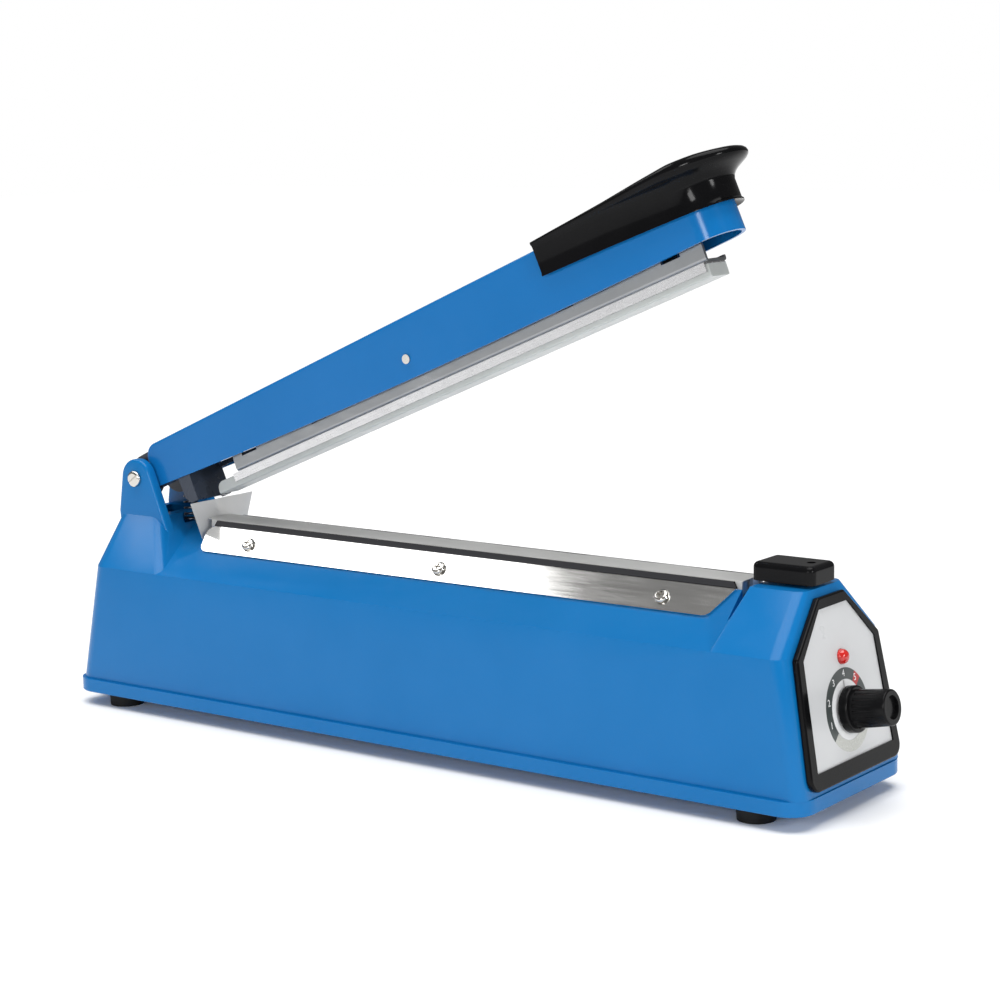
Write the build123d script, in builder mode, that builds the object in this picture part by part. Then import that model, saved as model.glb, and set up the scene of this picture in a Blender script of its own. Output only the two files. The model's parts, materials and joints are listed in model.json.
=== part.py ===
from build123d import *
from math import atan, cos, pi, radians, sin, tan
import os

os.makedirs("parts", exist_ok=True)

# Impulse heat sealer, in millimetres. +X runs from the hinge end to the control end, +Z is up,
# and the origin is under the middle of the whole machine, on the surface that it stands on.

# ---- Driving dimensions ----
overall_length = 340.0  # rear of the tray to the end of the knob
rear = -overall_length / 2  # every distance along the base is counted from here

tray_length = 325.8
tray_width = 70.8
foot_height = 5.0
tray_top = 10.2  # top of the tray's band, where the housing's walls start
kink_height = 54.6  # where the upright walls turn inward
top_height = 72.8  # flat tops of the tower and the front block
wall = 2.4
lean = atan(0.1776)  # both end walls lean inward by this angle

housing_rear = rear + 0.8
housing_front = rear + 325.2
wall_half_low = 34.0
wall_half_kink = 32.1
tower_front_low = rear + 46.8
tower_front_top = rear + 29.6
tower_rear_top = rear + 8.9
tower_half_top = 15.5
block_rear_low = rear + 290.5
block_rear_top = rear + 294.1
block_half_top = 13.1

shelf_slope = 0.424
ridge_rear = rear + 51.5
ridge_front = rear + 287.6
ridge_half_low = 16.3
ridge_half_top = 6.95
ridge_top = 69.9
slot_half = 6.7

strip_top = 72.8  # top of the cloth over the heating wire
bar_half = 6.0
bar_top = 71.9
bar_height = 10.0
bar_rear = rear + 50.6
bar_front = rear + 286.4

pivot_x = rear + 19.2
pivot_z = 87.0
pin_radius = 2.5
ear_inner = 11.2
ear_outer = 15.5

open_angle = 23.75  # the arm's angle when it stands open
closed_angle = 1.8  # and when the press bar lies flat on the sealing strip
arm_half = 10.65
arm_wall = 1.4
arm_top_wall = 1.6
nose_centre = 271.7  # from the hinge pin, along the arm
arm_tail = 4.6
arm_front_depth = 15.1

press_line = -17.54  # underside of the silicone strip, on the arm's own axis
channel_half = 8.0
channel_wall = 1.2
channel_bottom = 5.1  # above the silicone strip's underside
channel_height = 14.2
rail_half = 6.5
rail_bottom = 2.0
silicone_half = 5.5
silicone_height = 4.5

dial_z = 32.8  # height of the dial's centre
knob_height = 15.6
shaft_radius = 3.0
shaft_clearance = 0.05


def write(name, piece):
    """Labels a finished piece and writes it to its own file."""
    piece.label = name
    export_step(piece, "parts/" + name + ".step")


# ---- Planes ----
# The arm's planes follow the open arm: u runs from the hinge pin towards the nose, v is square to it.
open_rad = radians(open_angle)
arm_u = Vector(cos(open_rad), 0, sin(open_rad))
arm_v = Vector(-sin(open_rad), 0, cos(open_rad))
arm_pivot = Vector(pivot_x, 0, pivot_z)
arm_side = Plane(origin=arm_pivot, x_dir=arm_u, z_dir=(0, -1, 0))
arm_plan = Plane(origin=arm_pivot, x_dir=arm_u, z_dir=arm_v)


def arm_section(u):
    """Plane across the arm at distance u, with x across the arm and y square to it."""
    return Plane(origin=arm_pivot + arm_u * u, x_dir=(0, 1, 0), z_dir=arm_u)


# The press bar hangs at a small angle to the arm, so that it lies level when the arm is closed.
press_rad = radians(open_angle - closed_angle)
press_u = Vector(cos(press_rad), 0, sin(press_rad))
press_v = Vector(-sin(press_rad), 0, cos(press_rad))
press_origin = arm_pivot + arm_v * press_line
press_side = Plane(origin=press_origin, x_dir=press_u, z_dir=(0, -1, 0))


def press_section(u):
    """Plane across the press bar at distance u, with y = 0 on the silicone strip's underside."""
    return Plane(origin=press_origin + press_u * u, x_dir=(0, 1, 0), z_dir=press_u)


def press_plan(w):
    """Plane along the press bar, at height w above the silicone strip's underside."""
    return Plane(origin=press_origin + press_v * w, x_dir=press_u, z_dir=press_v)


# The control panel leans back: x runs across it and y up it, from the dial's centre.
bezel_proud = 2.3
panel_wall_x = housing_front - tan(lean) * (dial_z - tray_top)
panel_wall = Plane(
    origin=(panel_wall_x, 0, dial_z), x_dir=(0, 1, 0), z_dir=(cos(lean), 0, sin(lean))
)
panel_back = -wall * cos(lean)  # the wall's inner face, on that plane's normal

# The rear wall leans the other way; its plane starts at the cord hole's centre.
cord_z = 24.0
rear_wall = Plane(
    origin=(housing_rear + tan(lean) * (cord_z - tray_top), 0, cord_z),
    x_dir=(0, -1, 0),
    z_dir=(-cos(lean), 0, sin(lean)),
)

# The ridge's two faces carry the clamp plates: x runs along the base and y up the slope.
slope_low = Vector(0, -ridge_half_low, kink_height + shelf_slope * (wall_half_kink - ridge_half_low))
slope_top = Vector(0, -ridge_half_top, ridge_top)
slope_up = (slope_top - slope_low).normalized()
slope_length = (slope_top - slope_low).length
ridge_face = Plane(origin=slope_low, x_dir=(1, 0, 0), z_dir=(0, -slope_up.Z, slope_up.Y))
ridge_face_far = Plane(
    origin=(0, ridge_half_low, slope_low.Z),
    x_dir=(1, 0, 0),
    z_dir=(0, slope_up.Z, slope_up.Y),
)
plate_screw_places = [rear + 75.0, rear + 166.2, rear + 260.2]
plate_screw_up = 5.6  # from the plate's lower edge, up the slope


# ---- Housing ----
def end_wall_x(z, inset):
    """Where the rear and front walls stand at height z, moved in by inset."""
    shift = tan(lean) * (z - tray_top) + inset
    return housing_rear + shift, housing_front - shift


def wall_outline(z, half, inset, rear_radius, front_radius):
    """Rounded outline of the upright walls at height z."""
    x_rear, x_front = end_wall_x(z, inset)
    with BuildSketch(Plane.XY.offset(z)) as outline:
        with BuildLine():
            Polyline(
                (x_rear, inset - half),
                (x_front, inset - half),
                (x_front, half - inset),
                (x_rear, half - inset),
                close=True,
            )
        make_face()
        corners = outline.vertices().sort_by(Axis.X)
        fillet(corners[:2], rear_radius - inset)
        fillet(corners[2:], front_radius - inset)
    return outline.sketch


def frustum_outline(z, x_low, x_high, half, rear_radius, front_radius):
    """Rounded outline of a block's sloping upper part at height z."""
    with BuildSketch(Plane.XY.offset(z)) as outline:
        with BuildLine():
            Polyline((x_low, -half), (x_high, -half), (x_high, half), (x_low, half), close=True)
        make_face()
        corners = outline.vertices().sort_by(Axis.X)
        fillet(corners[:2], rear_radius)
        fillet(corners[2:], front_radius)
    return outline.sketch


def shelf_profile(inset, with_ridge):
    """Half-symmetric section of the shelf, with or without the ridge that carries the plates."""
    y_edge = wall_half_kink - inset
    z_edge = kink_height - inset * 0.6
    rise = shelf_slope * (wall_half_kink - ridge_half_low)
    z_ridge_low = kink_height + rise - inset * 1.1
    z_middle = kink_height + shelf_slope * wall_half_kink - inset * 1.1
    if with_ridge:
        half = [
            (y_edge, z_edge),
            (ridge_half_low - inset * 0.4, z_ridge_low),
            (ridge_half_top - inset * 0.2, ridge_top - inset * 1.1),
        ]
    else:
        half = [(y_edge, z_edge), (0.0, z_middle)]
    mirrored = [(-y, z) for y, z in reversed(half) if y > 0]
    return [(y_edge, tray_top)] + half + mirrored + [(-y_edge, tray_top)]


def shelf_length(profile, x_low, x_high):
    """The shelf's section, extruded along the base."""
    with BuildPart() as body:
        with BuildSketch(Plane(origin=(x_low, 0, 0), x_dir=(0, 1, 0), z_dir=(1, 0, 0))):
            with BuildLine():
                Polyline(*profile, close=True)
            make_face()
        extrude(amount=x_high - x_low)
    return body.part


def housing_blank(inset):
    """The housing as a solid, with its outer faces moved in by inset."""
    low = tray_top
    kink = kink_height - inset * 0.6
    with BuildPart() as blank:
        add(wall_outline(low, wall_half_low, inset, 8.0, 5.0))
        add(wall_outline(kink, wall_half_kink, inset, 8.0, 5.0))
        loft(ruled=True)
    rear_round = 8.0 - inset
    front_round = 5.0 - inset
    with BuildPart() as tower:
        add(frustum_outline(kink, end_wall_x(kink_height, inset)[0], tower_front_low - inset,
                            wall_half_kink - inset, rear_round, 1.2))
        add(frustum_outline(top_height - inset, tower_rear_top + inset, tower_front_top - inset,
                            tower_half_top - inset * 0.6, rear_round * 0.5, 1.2))
        loft(ruled=True)
    with BuildPart() as block:
        add(frustum_outline(kink, block_rear_low + inset, end_wall_x(kink_height, inset)[1],
                            wall_half_kink - inset, 1.2, front_round))
        add(frustum_outline(top_height - inset, block_rear_top + inset,
                            end_wall_x(top_height, inset)[1], block_half_top - inset * 0.6,
                            1.2, front_round * 0.6))
        loft(ruled=True)
    shelf = shelf_length(shelf_profile(inset, False), tower_front_top, block_rear_top)
    ridge = shelf_length(shelf_profile(inset, True), ridge_rear + inset, ridge_front - inset)
    with BuildPart() as whole:
        add(blank.part)
        add(tower.part)
        add(block.part)
        add(shelf)
        add(ridge)
    return whole.part


def build_ear():
    """One hinge ear: an upright plate with a round top, on the near side."""
    top_radius = 7.6
    foot_z = kink_height + 10
    with BuildPart() as ear:
        with BuildSketch(Plane.XZ.offset(ear_inner)):
            with BuildLine():
                foot_rear = (tower_rear_top, foot_z)
                foot_front = (tower_front_top + 6.2, foot_z)
                shoulder_rear = (tower_rear_top + 0.2, top_height + 1)
                start = (pivot_x - top_radius, pivot_z + 0.6)
                end = (pivot_x + top_radius * cos(radians(22)), pivot_z + top_radius * sin(radians(22)))
                Polyline(end, foot_front, foot_rear, shoulder_rear, start)
                ThreePointArc(start, (pivot_x - 0.6, pivot_z + top_radius), end)
            make_face()
        extrude(amount=ear_outer - ear_inner)
    return ear.part


boss_places = [(rear + 19.3, 25.5), (rear + 19.3, -25.5), (rear + 303.8, 25.5), (rear + 303.8, -25.5)]
switch_x = rear + 303.0
stem_radius = 3.0
lamp_across, lamp_up = 1.0, 17.2
spring_x = rear + 34.0
spring_foot = 69.2
terminal_rib_rear, terminal_rib_front = rear + 54.5, rear + 282.5

housing_outer = housing_blank(0)
housing_void = housing_blank(wall)
near_ear = build_ear()

with BuildPart() as base_housing:
    add(housing_outer)
    add(near_ear)
    add(near_ear.mirror(Plane.XZ))
    add(housing_void, mode=Mode.SUBTRACT)
    # the tray end is open
    with BuildSketch(Plane.XY.offset(tray_top)):
        add(wall_outline(tray_top, wall_half_low, wall, 8.0, 5.0).move(Location((0, 0, -tray_top))))
    extrude(amount=0.8, mode=Mode.SUBTRACT)
    # pocket between the ears, under the arm's tail
    pocket_floor = top_height - 6
    with BuildSketch(Plane.XY.offset(pocket_floor - 2)):
        with Locations((tower_rear_top + 9.5, 0)):
            Rectangle(15, 2 * ear_inner)
    extrude(amount=2)
    with BuildSketch(Plane.XY.offset(pocket_floor)):
        with Locations((tower_rear_top + 9.5, 0)):
            Rectangle(13, 2 * ear_inner - 1)
    extrude(amount=20, mode=Mode.SUBTRACT)
    # slot for the element bar
    with BuildSketch(Plane.XY.offset(kink_height - 10)):
        with Locations(((bar_rear + bar_front) / 2, 0)):
            Rectangle(bar_front - bar_rear + 3.2, 2 * slot_half)
    extrude(amount=40, mode=Mode.SUBTRACT)
    # ribs that carry the element bar, and deeper ones at its ends for the wire's terminals
    with BuildSketch(Plane.XY.offset(bar_top - bar_height - 4)):
        with Locations(*[(rear + s, 0) for s in (84, 128, 212, 254)]):
            Rectangle(4, 28)
    extrude(amount=4)
    with BuildSketch(Plane.XY.offset(bar_top - bar_height - 16)):
        with Locations((terminal_rib_rear, 0), (terminal_rib_front, 0)):
            Rectangle(4, 28)
    extrude(amount=16)
    # pilot holes for the plates' screws
    for face, up in ((ridge_face, plate_screw_up), (ridge_face_far, -plate_screw_up)):
        with BuildSketch(face.offset(-6)):
            with Locations(*[(x, up) for x in plate_screw_places]):
                Circle(1.4)
        extrude(amount=6.5, mode=Mode.SUBTRACT)
    # boss, well and pin for the arm's return spring
    with BuildSketch(Plane.XY.offset(spring_foot - 6)):
        with Locations((spring_x, 0)):
            Circle(4.4)
    extrude(amount=6)
    with BuildSketch(Plane.XY.offset(spring_foot)):
        with Locations((spring_x, 0)):
            Circle(3.9)
    extrude(amount=6, mode=Mode.SUBTRACT)
    with BuildSketch(Plane.XY.offset(spring_foot - 3)):
        with Locations((spring_x, 0)):
            Circle(1.9)
    extrude(amount=6)
    # posts that hold the micro switch from its ends
    with BuildSketch(Plane.XY.offset(57)):
        with Locations((switch_x, 11.3), (switch_x, -11.3)):
            Rectangle(6, 2.6)
    extrude(amount=14.5)
    # bosses for the tray screws, with a web to the wall
    with BuildSketch(Plane.XY.offset(foot_height + 2.3)):
        with Locations(*boss_places):
            Circle(4)
    extrude(amount=40)
    with BuildSketch(Plane.XY.offset(tray_top + 4)):
        with Locations(*[(x, y * 29.2 / 25.5) for x, y in boss_places]):
            Rectangle(2, 5)
    extrude(amount=30)
    with BuildSketch(Plane.XY.offset(foot_height)):
        with Locations(*boss_places):
            Circle(1.7)
    extrude(amount=16, mode=Mode.SUBTRACT)
    # hinge pin holes
    with BuildSketch(Plane.XZ.offset(-20)):
        with Locations((pivot_x, pivot_z)):
            Circle(pin_radius)
    extrude(amount=40, mode=Mode.SUBTRACT)
    # guide for the switch cap's stem
    with BuildSketch(Plane.XY.offset(top_height - 6)):
        with Locations((switch_x, 0)):
            Circle(5.2)
    extrude(amount=6)
    with BuildSketch(Plane.XY.offset(top_height - 8)):
        with Locations((switch_x, 0)):
            Circle(stem_radius + 0.1)
    extrude(amount=10, mode=Mode.SUBTRACT)
    # panel holes for the potentiometer's bushing and the lamp
    with BuildSketch(panel_wall.offset(-6)):
        Circle(3.6)
        with Locations((lamp_across, lamp_up)):
            Circle(2.6)
    extrude(amount=8, mode=Mode.SUBTRACT)
    # cord hole in the rear wall
    with BuildSketch(rear_wall.offset(-6)):
        Circle(5.0)
    extrude(amount=8, mode=Mode.SUBTRACT)
write("base_housing", base_housing.part)


# ---- Tray, feet and their screws ----
def tray_outline(z, inset):
    """Rounded outline of the tray, moved in by inset."""
    with BuildSketch(Plane.XY.offset(z)) as outline:
        with Locations((rear + tray_length / 2, 0)):
            RectangleRounded(tray_length - 2 * inset, tray_width - 2 * inset, 9.0 - inset * 0.6)
    return outline.sketch


tray_floor = foot_height + 2
core_x = rear + 225.0  # middle of the transformer
lip_outer = 4.3
lip_inner = 5.6

with BuildPart() as bottom_tray:
    add(tray_outline(foot_height, 0))
    extrude(amount=tray_top - foot_height)
    add(tray_outline(tray_top, lip_outer))
    extrude(amount=3)
    add(tray_outline(tray_floor, lip_inner))
    extrude(amount=20, mode=Mode.SUBTRACT)
    with BuildSketch(Plane.XY.offset(foot_height)):
        with Locations(*boss_places):
            Circle(2.1)
    extrude(amount=4, mode=Mode.SUBTRACT)
    # holes for the screws that hold the transformer's strap
    with BuildSketch(Plane.XY.offset(foot_height - 1)):
        with Locations((core_x - 30.2, 0), (core_x + 30.2, 0)):
            Circle(1.6)
    extrude(amount=4, mode=Mode.SUBTRACT)
    # vents between the transformer and the circuit board
    with BuildSketch(Plane.XY.offset(foot_height - 1)):
        with GridLocations(9, 30, 7, 1):
            SlotOverall(24, 3, rotation=90)
    extrude(amount=4, mode=Mode.SUBTRACT)
    bottom_rim = bottom_tray.faces().sort_by(Axis.Z)[0].outer_wire().edges()
    fillet(bottom_rim, 0.8)
write("bottom_tray", bottom_tray.part)

with BuildPart() as rubber_feet:
    with BuildSketch():
        with Locations(*boss_places):
            Circle(6.4)
    extrude(amount=foot_height, taper=-4)
    with BuildSketch(Plane.XY):
        with Locations(*boss_places):
            Circle(4.2)
    extrude(amount=2.4, mode=Mode.SUBTRACT)
    with BuildSketch(Plane.XY):
        with Locations(*boss_places):
            Circle(2.1)
    extrude(amount=foot_height, mode=Mode.SUBTRACT)
write("rubber_feet", rubber_feet.part)

with BuildPart() as tray_screws:
    with BuildSketch(Plane.XY.offset(0.8)):
        with Locations(*boss_places):
            Circle(3.6)
    extrude(amount=1.6)
    with BuildSketch(Plane.XY.offset(2.4)):
        with Locations(*boss_places):
            Circle(1.7)
    extrude(amount=15)
    with BuildSketch(Plane.XY.offset(0.8)):
        with Locations(*boss_places):
            Rectangle(4.4, 0.9)
            Rectangle(0.9, 4.4)
    extrude(amount=0.8, mode=Mode.SUBTRACT)
write("tray_screws", tray_screws.part)


# ---- Sealing element ----
element_length = bar_front - bar_rear
element_middle = (bar_front + bar_rear) / 2
tape_thick = 0.25
wire_thick = 0.15
wire_half = 1.1
cloth_thick = 0.3
cloth_bottom = strip_top - cloth_thick
leg_gap = 0.35  # between the bar's ends and the wire's legs
terminal_top = 55.0

with BuildPart() as element_bar:
    with BuildSketch(Plane.XY.offset(bar_top - bar_height)):
        with Locations((element_middle, 0)):
            Rectangle(element_length, 2 * bar_half)
    extrude(amount=bar_height)
    long_edges = element_bar.edges().filter_by(Axis.X).group_by(Axis.Z)[-1]
    fillet(long_edges, 0.6)
write("element_bar", element_bar.part)

with BuildPart() as insulation_tape:
    with BuildSketch(Plane.XY.offset(bar_top)):
        with Locations((element_middle, 0)):
            Rectangle(element_length - 1, 9)
    extrude(amount=tape_thick)
write("insulation_tape", insulation_tape.part)

leg_rear = bar_rear - leg_gap
leg_front = bar_front + leg_gap
wire_low = bar_top + tape_thick
wire_high = wire_low + wire_thick
with BuildPart() as heating_wire:
    with BuildSketch(Plane.XZ.offset(-wire_half)):
        with BuildLine():
            Polyline(
                (leg_rear - wire_thick, terminal_top),
                (leg_rear - wire_thick, wire_high),
                (leg_front + wire_thick, wire_high),
                (leg_front + wire_thick, terminal_top),
                (leg_front, terminal_top),
                (leg_front, wire_low),
                (leg_rear, wire_low),
                (leg_rear, terminal_top),
                close=True,
            )
        make_face()
    extrude(amount=2 * wire_half)
write("heating_wire", heating_wire.part)

flap_x = rear + 47.9  # the cloth's rear end stands up here
flap_top = 79.4
cloth_side = bar_half + 0.25
with BuildPart() as ptfe_cover:
    # top, over the wire
    with BuildSketch(Plane.XY.offset(cloth_bottom)):
        with Locations(((flap_x + bar_front + 1) / 2, 0)):
            Rectangle(bar_front + 1 - flap_x, 2 * (cloth_side + cloth_thick))
    extrude(amount=cloth_thick)
    # sides, between the bar and the plates
    with BuildSketch(Plane.XY.offset(66)):
        with Locations((element_middle, cloth_side + cloth_thick / 2),
                       (element_middle, -cloth_side - cloth_thick / 2)):
            Rectangle(element_length, cloth_thick)
    extrude(amount=cloth_bottom - 66)
    # the standing rear end
    with BuildSketch(Plane(origin=(flap_x, 0, 0), x_dir=(0, 1, 0), z_dir=(1, 0, 0))):
        with BuildLine():
            Polyline((-9.0, 65.2), (0, 68.6), (13.5, 62.9), (19.6, flap_top), (-15.0, flap_top),
                     close=True)
        make_face()
    extrude(amount=-cloth_thick)
write("ptfe_cover", ptfe_cover.part)

# ---- Clamp plates, one each side of the element, with three screws each ----
plate_thick = 0.8
plate_rear_low, plate_rear_top = rear + 52.8, rear + 50.0
lip_rear = rear + 52.4
plate_front_low, plate_front_top = rear + 279.8, rear + 286.0
lip_top = 72.4

with BuildPart() as clamp_plate_near:
    # the sloping blade, with round lower corners
    with BuildSketch(ridge_face.offset(0.02)) as blade:
        with BuildLine():
            Polyline(
                (plate_rear_low, 0.4),
                (plate_front_low, 0.4),
                (plate_front_top, slope_length),
                (plate_rear_top, slope_length),
                close=True,
            )
        make_face()
        fillet(blade.vertices().sort_by(Axis.X)[:2], 3.8)
        fillet(blade.vertices().sort_by(Axis.X)[-2:].sort_by(Axis.Y)[:1], 3.6)
    extrude(amount=plate_thick)
    # the upright lip beside the cloth
    with BuildSketch(Plane.XZ.offset(ridge_half_top + 0.25 - plate_thick / 2)):
        with BuildLine():
            Polyline(
                (lip_rear, ridge_top + 0.05),
                (plate_front_top, ridge_top + 0.05),
                (plate_front_top - 1.2, lip_top),
                (lip_rear + 1.8, lip_top),
                close=True,
            )
        make_face()
    extrude(amount=plate_thick)
    with BuildSketch(ridge_face.offset(-2)):
        with Locations(*[(x, plate_screw_up) for x in plate_screw_places]):
            Circle(1.6)
    extrude(amount=4, mode=Mode.SUBTRACT)
write("clamp_plate_near", clamp_plate_near.part)

clamp_plate_far = clamp_plate_near.part.mirror(Plane.XZ)
write("clamp_plate_far", clamp_plate_far)

with BuildPart() as near_screws:
    with BuildSketch(ridge_face.offset(plate_thick + 0.05)):
        with Locations(*[(x, plate_screw_up) for x in plate_screw_places]):
            Circle(2.6)
    extrude(amount=1.5)
    heads = near_screws.edges().filter_by(GeomType.CIRCLE).group_by(Axis.Z)[-1]
    fillet(heads, 1.0)
    with BuildSketch(ridge_face.offset(plate_thick + 0.9)):
        with Locations(*[(x, plate_screw_up) for x in plate_screw_places]):
            Rectangle(2.8, 0.6)
            Rectangle(0.6, 2.8)
    extrude(amount=2, mode=Mode.SUBTRACT)
    with BuildSketch(ridge_face.offset(-6)):
        with Locations(*[(x, plate_screw_up) for x in plate_screw_places]):
            Circle(1.4)
    extrude(amount=plate_thick + 6.05)
clamp_screws = Compound(children=[near_screws.part, near_screws.part.mirror(Plane.XZ)])
write("clamp_screws", clamp_screws)

# ---- Control panel ----
bezel_outline = [(-29.6, -21.3), (29.6, -21.3), (26.6, 21.2), (8.3, 38.0), (-8.3, 38.0), (-26.6, 21.2)]
label_outline = [(-25.0, -15.6), (25.0, -15.6), (23.2, 20.2), (9.3, 34.3), (-9.3, 34.3), (-23.2, 20.2)]
label_thick = 0.4
label_front = bezel_proud - 0.6
bushing_radius = 3.5
lamp_radius = 2.5

with BuildPart() as control_bezel:
    with BuildSketch(panel_wall) as outline:
        with BuildLine():
            Polyline(*bezel_outline, close=True)
        make_face()
        fillet(outline.vertices().sort_by(Axis.Y)[:2], 4.5)
        fillet(outline.vertices().sort_by(Axis.Y)[-4:], 1.8)
    extrude(amount=bezel_proud)
    front_edges = control_bezel.faces().sort_by(Axis.X)[-1].outer_wire().edges()
    fillet(front_edges, 0.7)
    with BuildSketch(panel_wall.offset(label_front - label_thick)):
        with BuildLine():
            Polyline(*label_outline, close=True)
        make_face()
    extrude(amount=3, mode=Mode.SUBTRACT)
    with BuildSketch(panel_wall):
        Circle(bushing_radius + 0.1)
        with Locations((lamp_across, lamp_up)):
            Circle(lamp_radius + 0.1)
    extrude(amount=3, mode=Mode.SUBTRACT)
write("control_bezel", control_bezel.part)

with BuildPart() as control_label:
    with BuildSketch(panel_wall.offset(label_front - label_thick)):
        with BuildLine():
            Polyline(*label_outline, close=True)
        make_face()
        Circle(bushing_radius + 0.1, mode=Mode.SUBTRACT)
        with Locations((lamp_across, lamp_up)):
            Circle(lamp_radius + 0.1, mode=Mode.SUBTRACT)
    extrude(amount=label_thick)
write("control_label", control_label.part)

with BuildPart() as indicator_lamp:
    with BuildSketch(panel_wall.offset(panel_back)):
        with Locations((lamp_across, lamp_up)):
            Circle(lamp_radius)
    extrude(amount=label_front + 2.6 - panel_back)
    dome = indicator_lamp.faces().sort_by(Axis.X)[-1].edges()
    fillet(dome, 2.2)
    with BuildSketch(panel_wall.offset(panel_back)):
        with Locations((lamp_across, lamp_up)):
            Circle(3.3)
    extrude(amount=-1.2)
    with BuildSketch(panel_wall.offset(panel_back - 1.2)):
        with Locations((lamp_across - 1.3, lamp_up), (lamp_across + 1.3, lamp_up)):
            Rectangle(0.6, 0.6)
    extrude(amount=-7)
write("indicator_lamp", indicator_lamp.part)

# The potentiometer hangs behind the panel; its shaft carries the knob.
pot_radius = 8.25
pot_depth = 8.2
bushing_end = label_front + 2.2
with BuildPart() as potentiometer:
    with BuildSketch(panel_wall.offset(panel_back)):
        Circle(pot_radius)
        with Locations((0, -pot_radius)):
            Rectangle(14, 5)
    extrude(amount=-pot_depth)
    with BuildSketch(panel_wall.offset(panel_back - 2)):
        Circle(6.8)
    extrude(amount=-5, mode=Mode.SUBTRACT)
    with BuildSketch(panel_wall.offset(panel_back)):
        Circle(bushing_radius)
    extrude(amount=bushing_end - panel_back)
    with BuildSketch(panel_wall.offset(panel_back - 2)):
        Circle(shaft_radius + shaft_clearance)
    extrude(amount=12, mode=Mode.SUBTRACT)
    with BuildSketch(panel_wall.offset(panel_back - pot_depth + 1.2)):
        with Locations((-5, -12), (0, -12), (5, -12)):
            Rectangle(1.2, 4)
    extrude(amount=0.5)
write("potentiometer", potentiometer.part)

with BuildPart() as potentiometer_nut:
    with BuildSketch(panel_wall.offset(label_front)):
        RegularPolygon(5.0, 6)
        Circle(bushing_radius, mode=Mode.SUBTRACT)
    extrude(amount=1.6)
write("potentiometer_nut", potentiometer_nut.part)

# ---- Timer knob and its shaft ----
tip_radius = 5.9
tip_round = 0.6
tip_reach = overall_length / 2 - panel_wall_x - tip_round - sin(lean) * (tip_radius - tip_round)
knob_end = tip_reach / cos(lean) + tip_round
skirt_low = label_front + 1.0
skirt_radius = 7.7
shaft_end = knob_end - 3.5

with BuildPart() as potentiometer_shaft:
    with BuildSketch(panel_wall.offset(panel_back - 6.0)):
        Circle(shaft_radius)
    extrude(amount=shaft_end - panel_back + 6.0)
    with BuildSketch(panel_wall.offset(panel_back - 4.6)):
        Circle(6.2)
    extrude(amount=1.4)
write("potentiometer_shaft", potentiometer_shaft.part)

with BuildPart() as timer_knob:
    with BuildSketch(panel_wall.offset(skirt_low)):
        Circle(skirt_radius)
    extrude(amount=3.0)
    fillet(timer_knob.edges().group_by(Axis.X)[-1], 0.6)
    with BuildSketch(panel_wall.offset(skirt_low + 2.5)):
        Circle(6.4)
    with BuildSketch(panel_wall.offset(knob_end)):
        Circle(tip_radius)
    loft()
    fillet(timer_knob.faces().sort_by(Axis.X)[-1].edges(), tip_round)
    # flutes round the grip
    for turn in range(18):
        across = 6.75 * cos(2 * pi * turn / 18)
        up = 6.75 * sin(2 * pi * turn / 18)
        with BuildSketch(panel_wall.offset(skirt_low + 4.0)):
            with Locations((across, up)):
                Circle(0.75)
        extrude(amount=20, mode=Mode.SUBTRACT)
    # shallow dish in the end
    with BuildSketch(panel_wall.offset(knob_end - 1.2)):
        Circle(3.9)
    extrude(amount=2, mode=Mode.SUBTRACT)
    # bore for the shaft, and room for the nut
    with BuildSketch(panel_wall.offset(skirt_low)):
        Circle(shaft_radius)
    extrude(amount=shaft_end - skirt_low, mode=Mode.SUBTRACT)
    with BuildSketch(panel_wall.offset(skirt_low)):
        Circle(5.4)
    extrude(amount=2.2, mode=Mode.SUBTRACT)
write("timer_knob", timer_knob.part)

# ---- Safety switch under the arm's nose ----
cap_low, cap_top = 73.9, 80.0
cap_rear, cap_front = rear + 291.5, rear + 314.5
cap_half = 8.0
button_radius = 1.5
stem_bottom = 68.4
with BuildPart() as switch_cap:
    with BuildSketch(Plane.XY.offset(cap_low)):
        with Locations(((cap_rear + cap_front) / 2, 0)):
            RectangleRounded(cap_front - cap_rear, 2 * cap_half, 2.5)
    extrude(amount=cap_top - cap_low)
    fillet(switch_cap.edges().group_by(Axis.Z)[-1], 1.9)
    with BuildSketch(Plane.XY.offset(cap_low)):
        with Locations(((cap_rear + cap_front) / 2, 0)):
            RectangleRounded(cap_front - cap_rear - 3.2, 2 * cap_half - 3.2, 1.5)
    extrude(amount=3.6, mode=Mode.SUBTRACT)
    with BuildSketch(Plane.XY.offset(stem_bottom)):
        with Locations((switch_x, 0)):
            Circle(stem_radius)
    extrude(amount=cap_top - 2 - stem_bottom)
    with BuildSketch(Plane.XY.offset(cap_top - 0.6)):
        with Locations((cap_front - 5.0, 0)):
            Circle(1.5)
    extrude(amount=1, mode=Mode.SUBTRACT)
write("switch_cap", switch_cap.part)

with BuildPart() as micro_switch:
    with BuildSketch(Plane.XY.offset(56)):
        with Locations((switch_x, 0)):
            Rectangle(6.4, 20)
    extrude(amount=10)
    with BuildSketch(Plane.XY.offset(62.8)):
        with Locations((switch_x, 0)):
            Circle(button_radius + 0.1)
    extrude(amount=4, mode=Mode.SUBTRACT)
    with BuildSketch(Plane.XY.offset(56)):
        with Locations((switch_x, -7.5), (switch_x, 0), (switch_x, 7.5)):
            Rectangle(3, 0.6)
    extrude(amount=-5)
write("micro_switch", micro_switch.part)

with BuildPart() as micro_switch_button:
    with BuildSketch(Plane.XY.offset(64.2)):
        with Locations((switch_x, 0)):
            Circle(button_radius)
    extrude(amount=stem_bottom - 64.2)
write("micro_switch_button", micro_switch_button.part)

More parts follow.
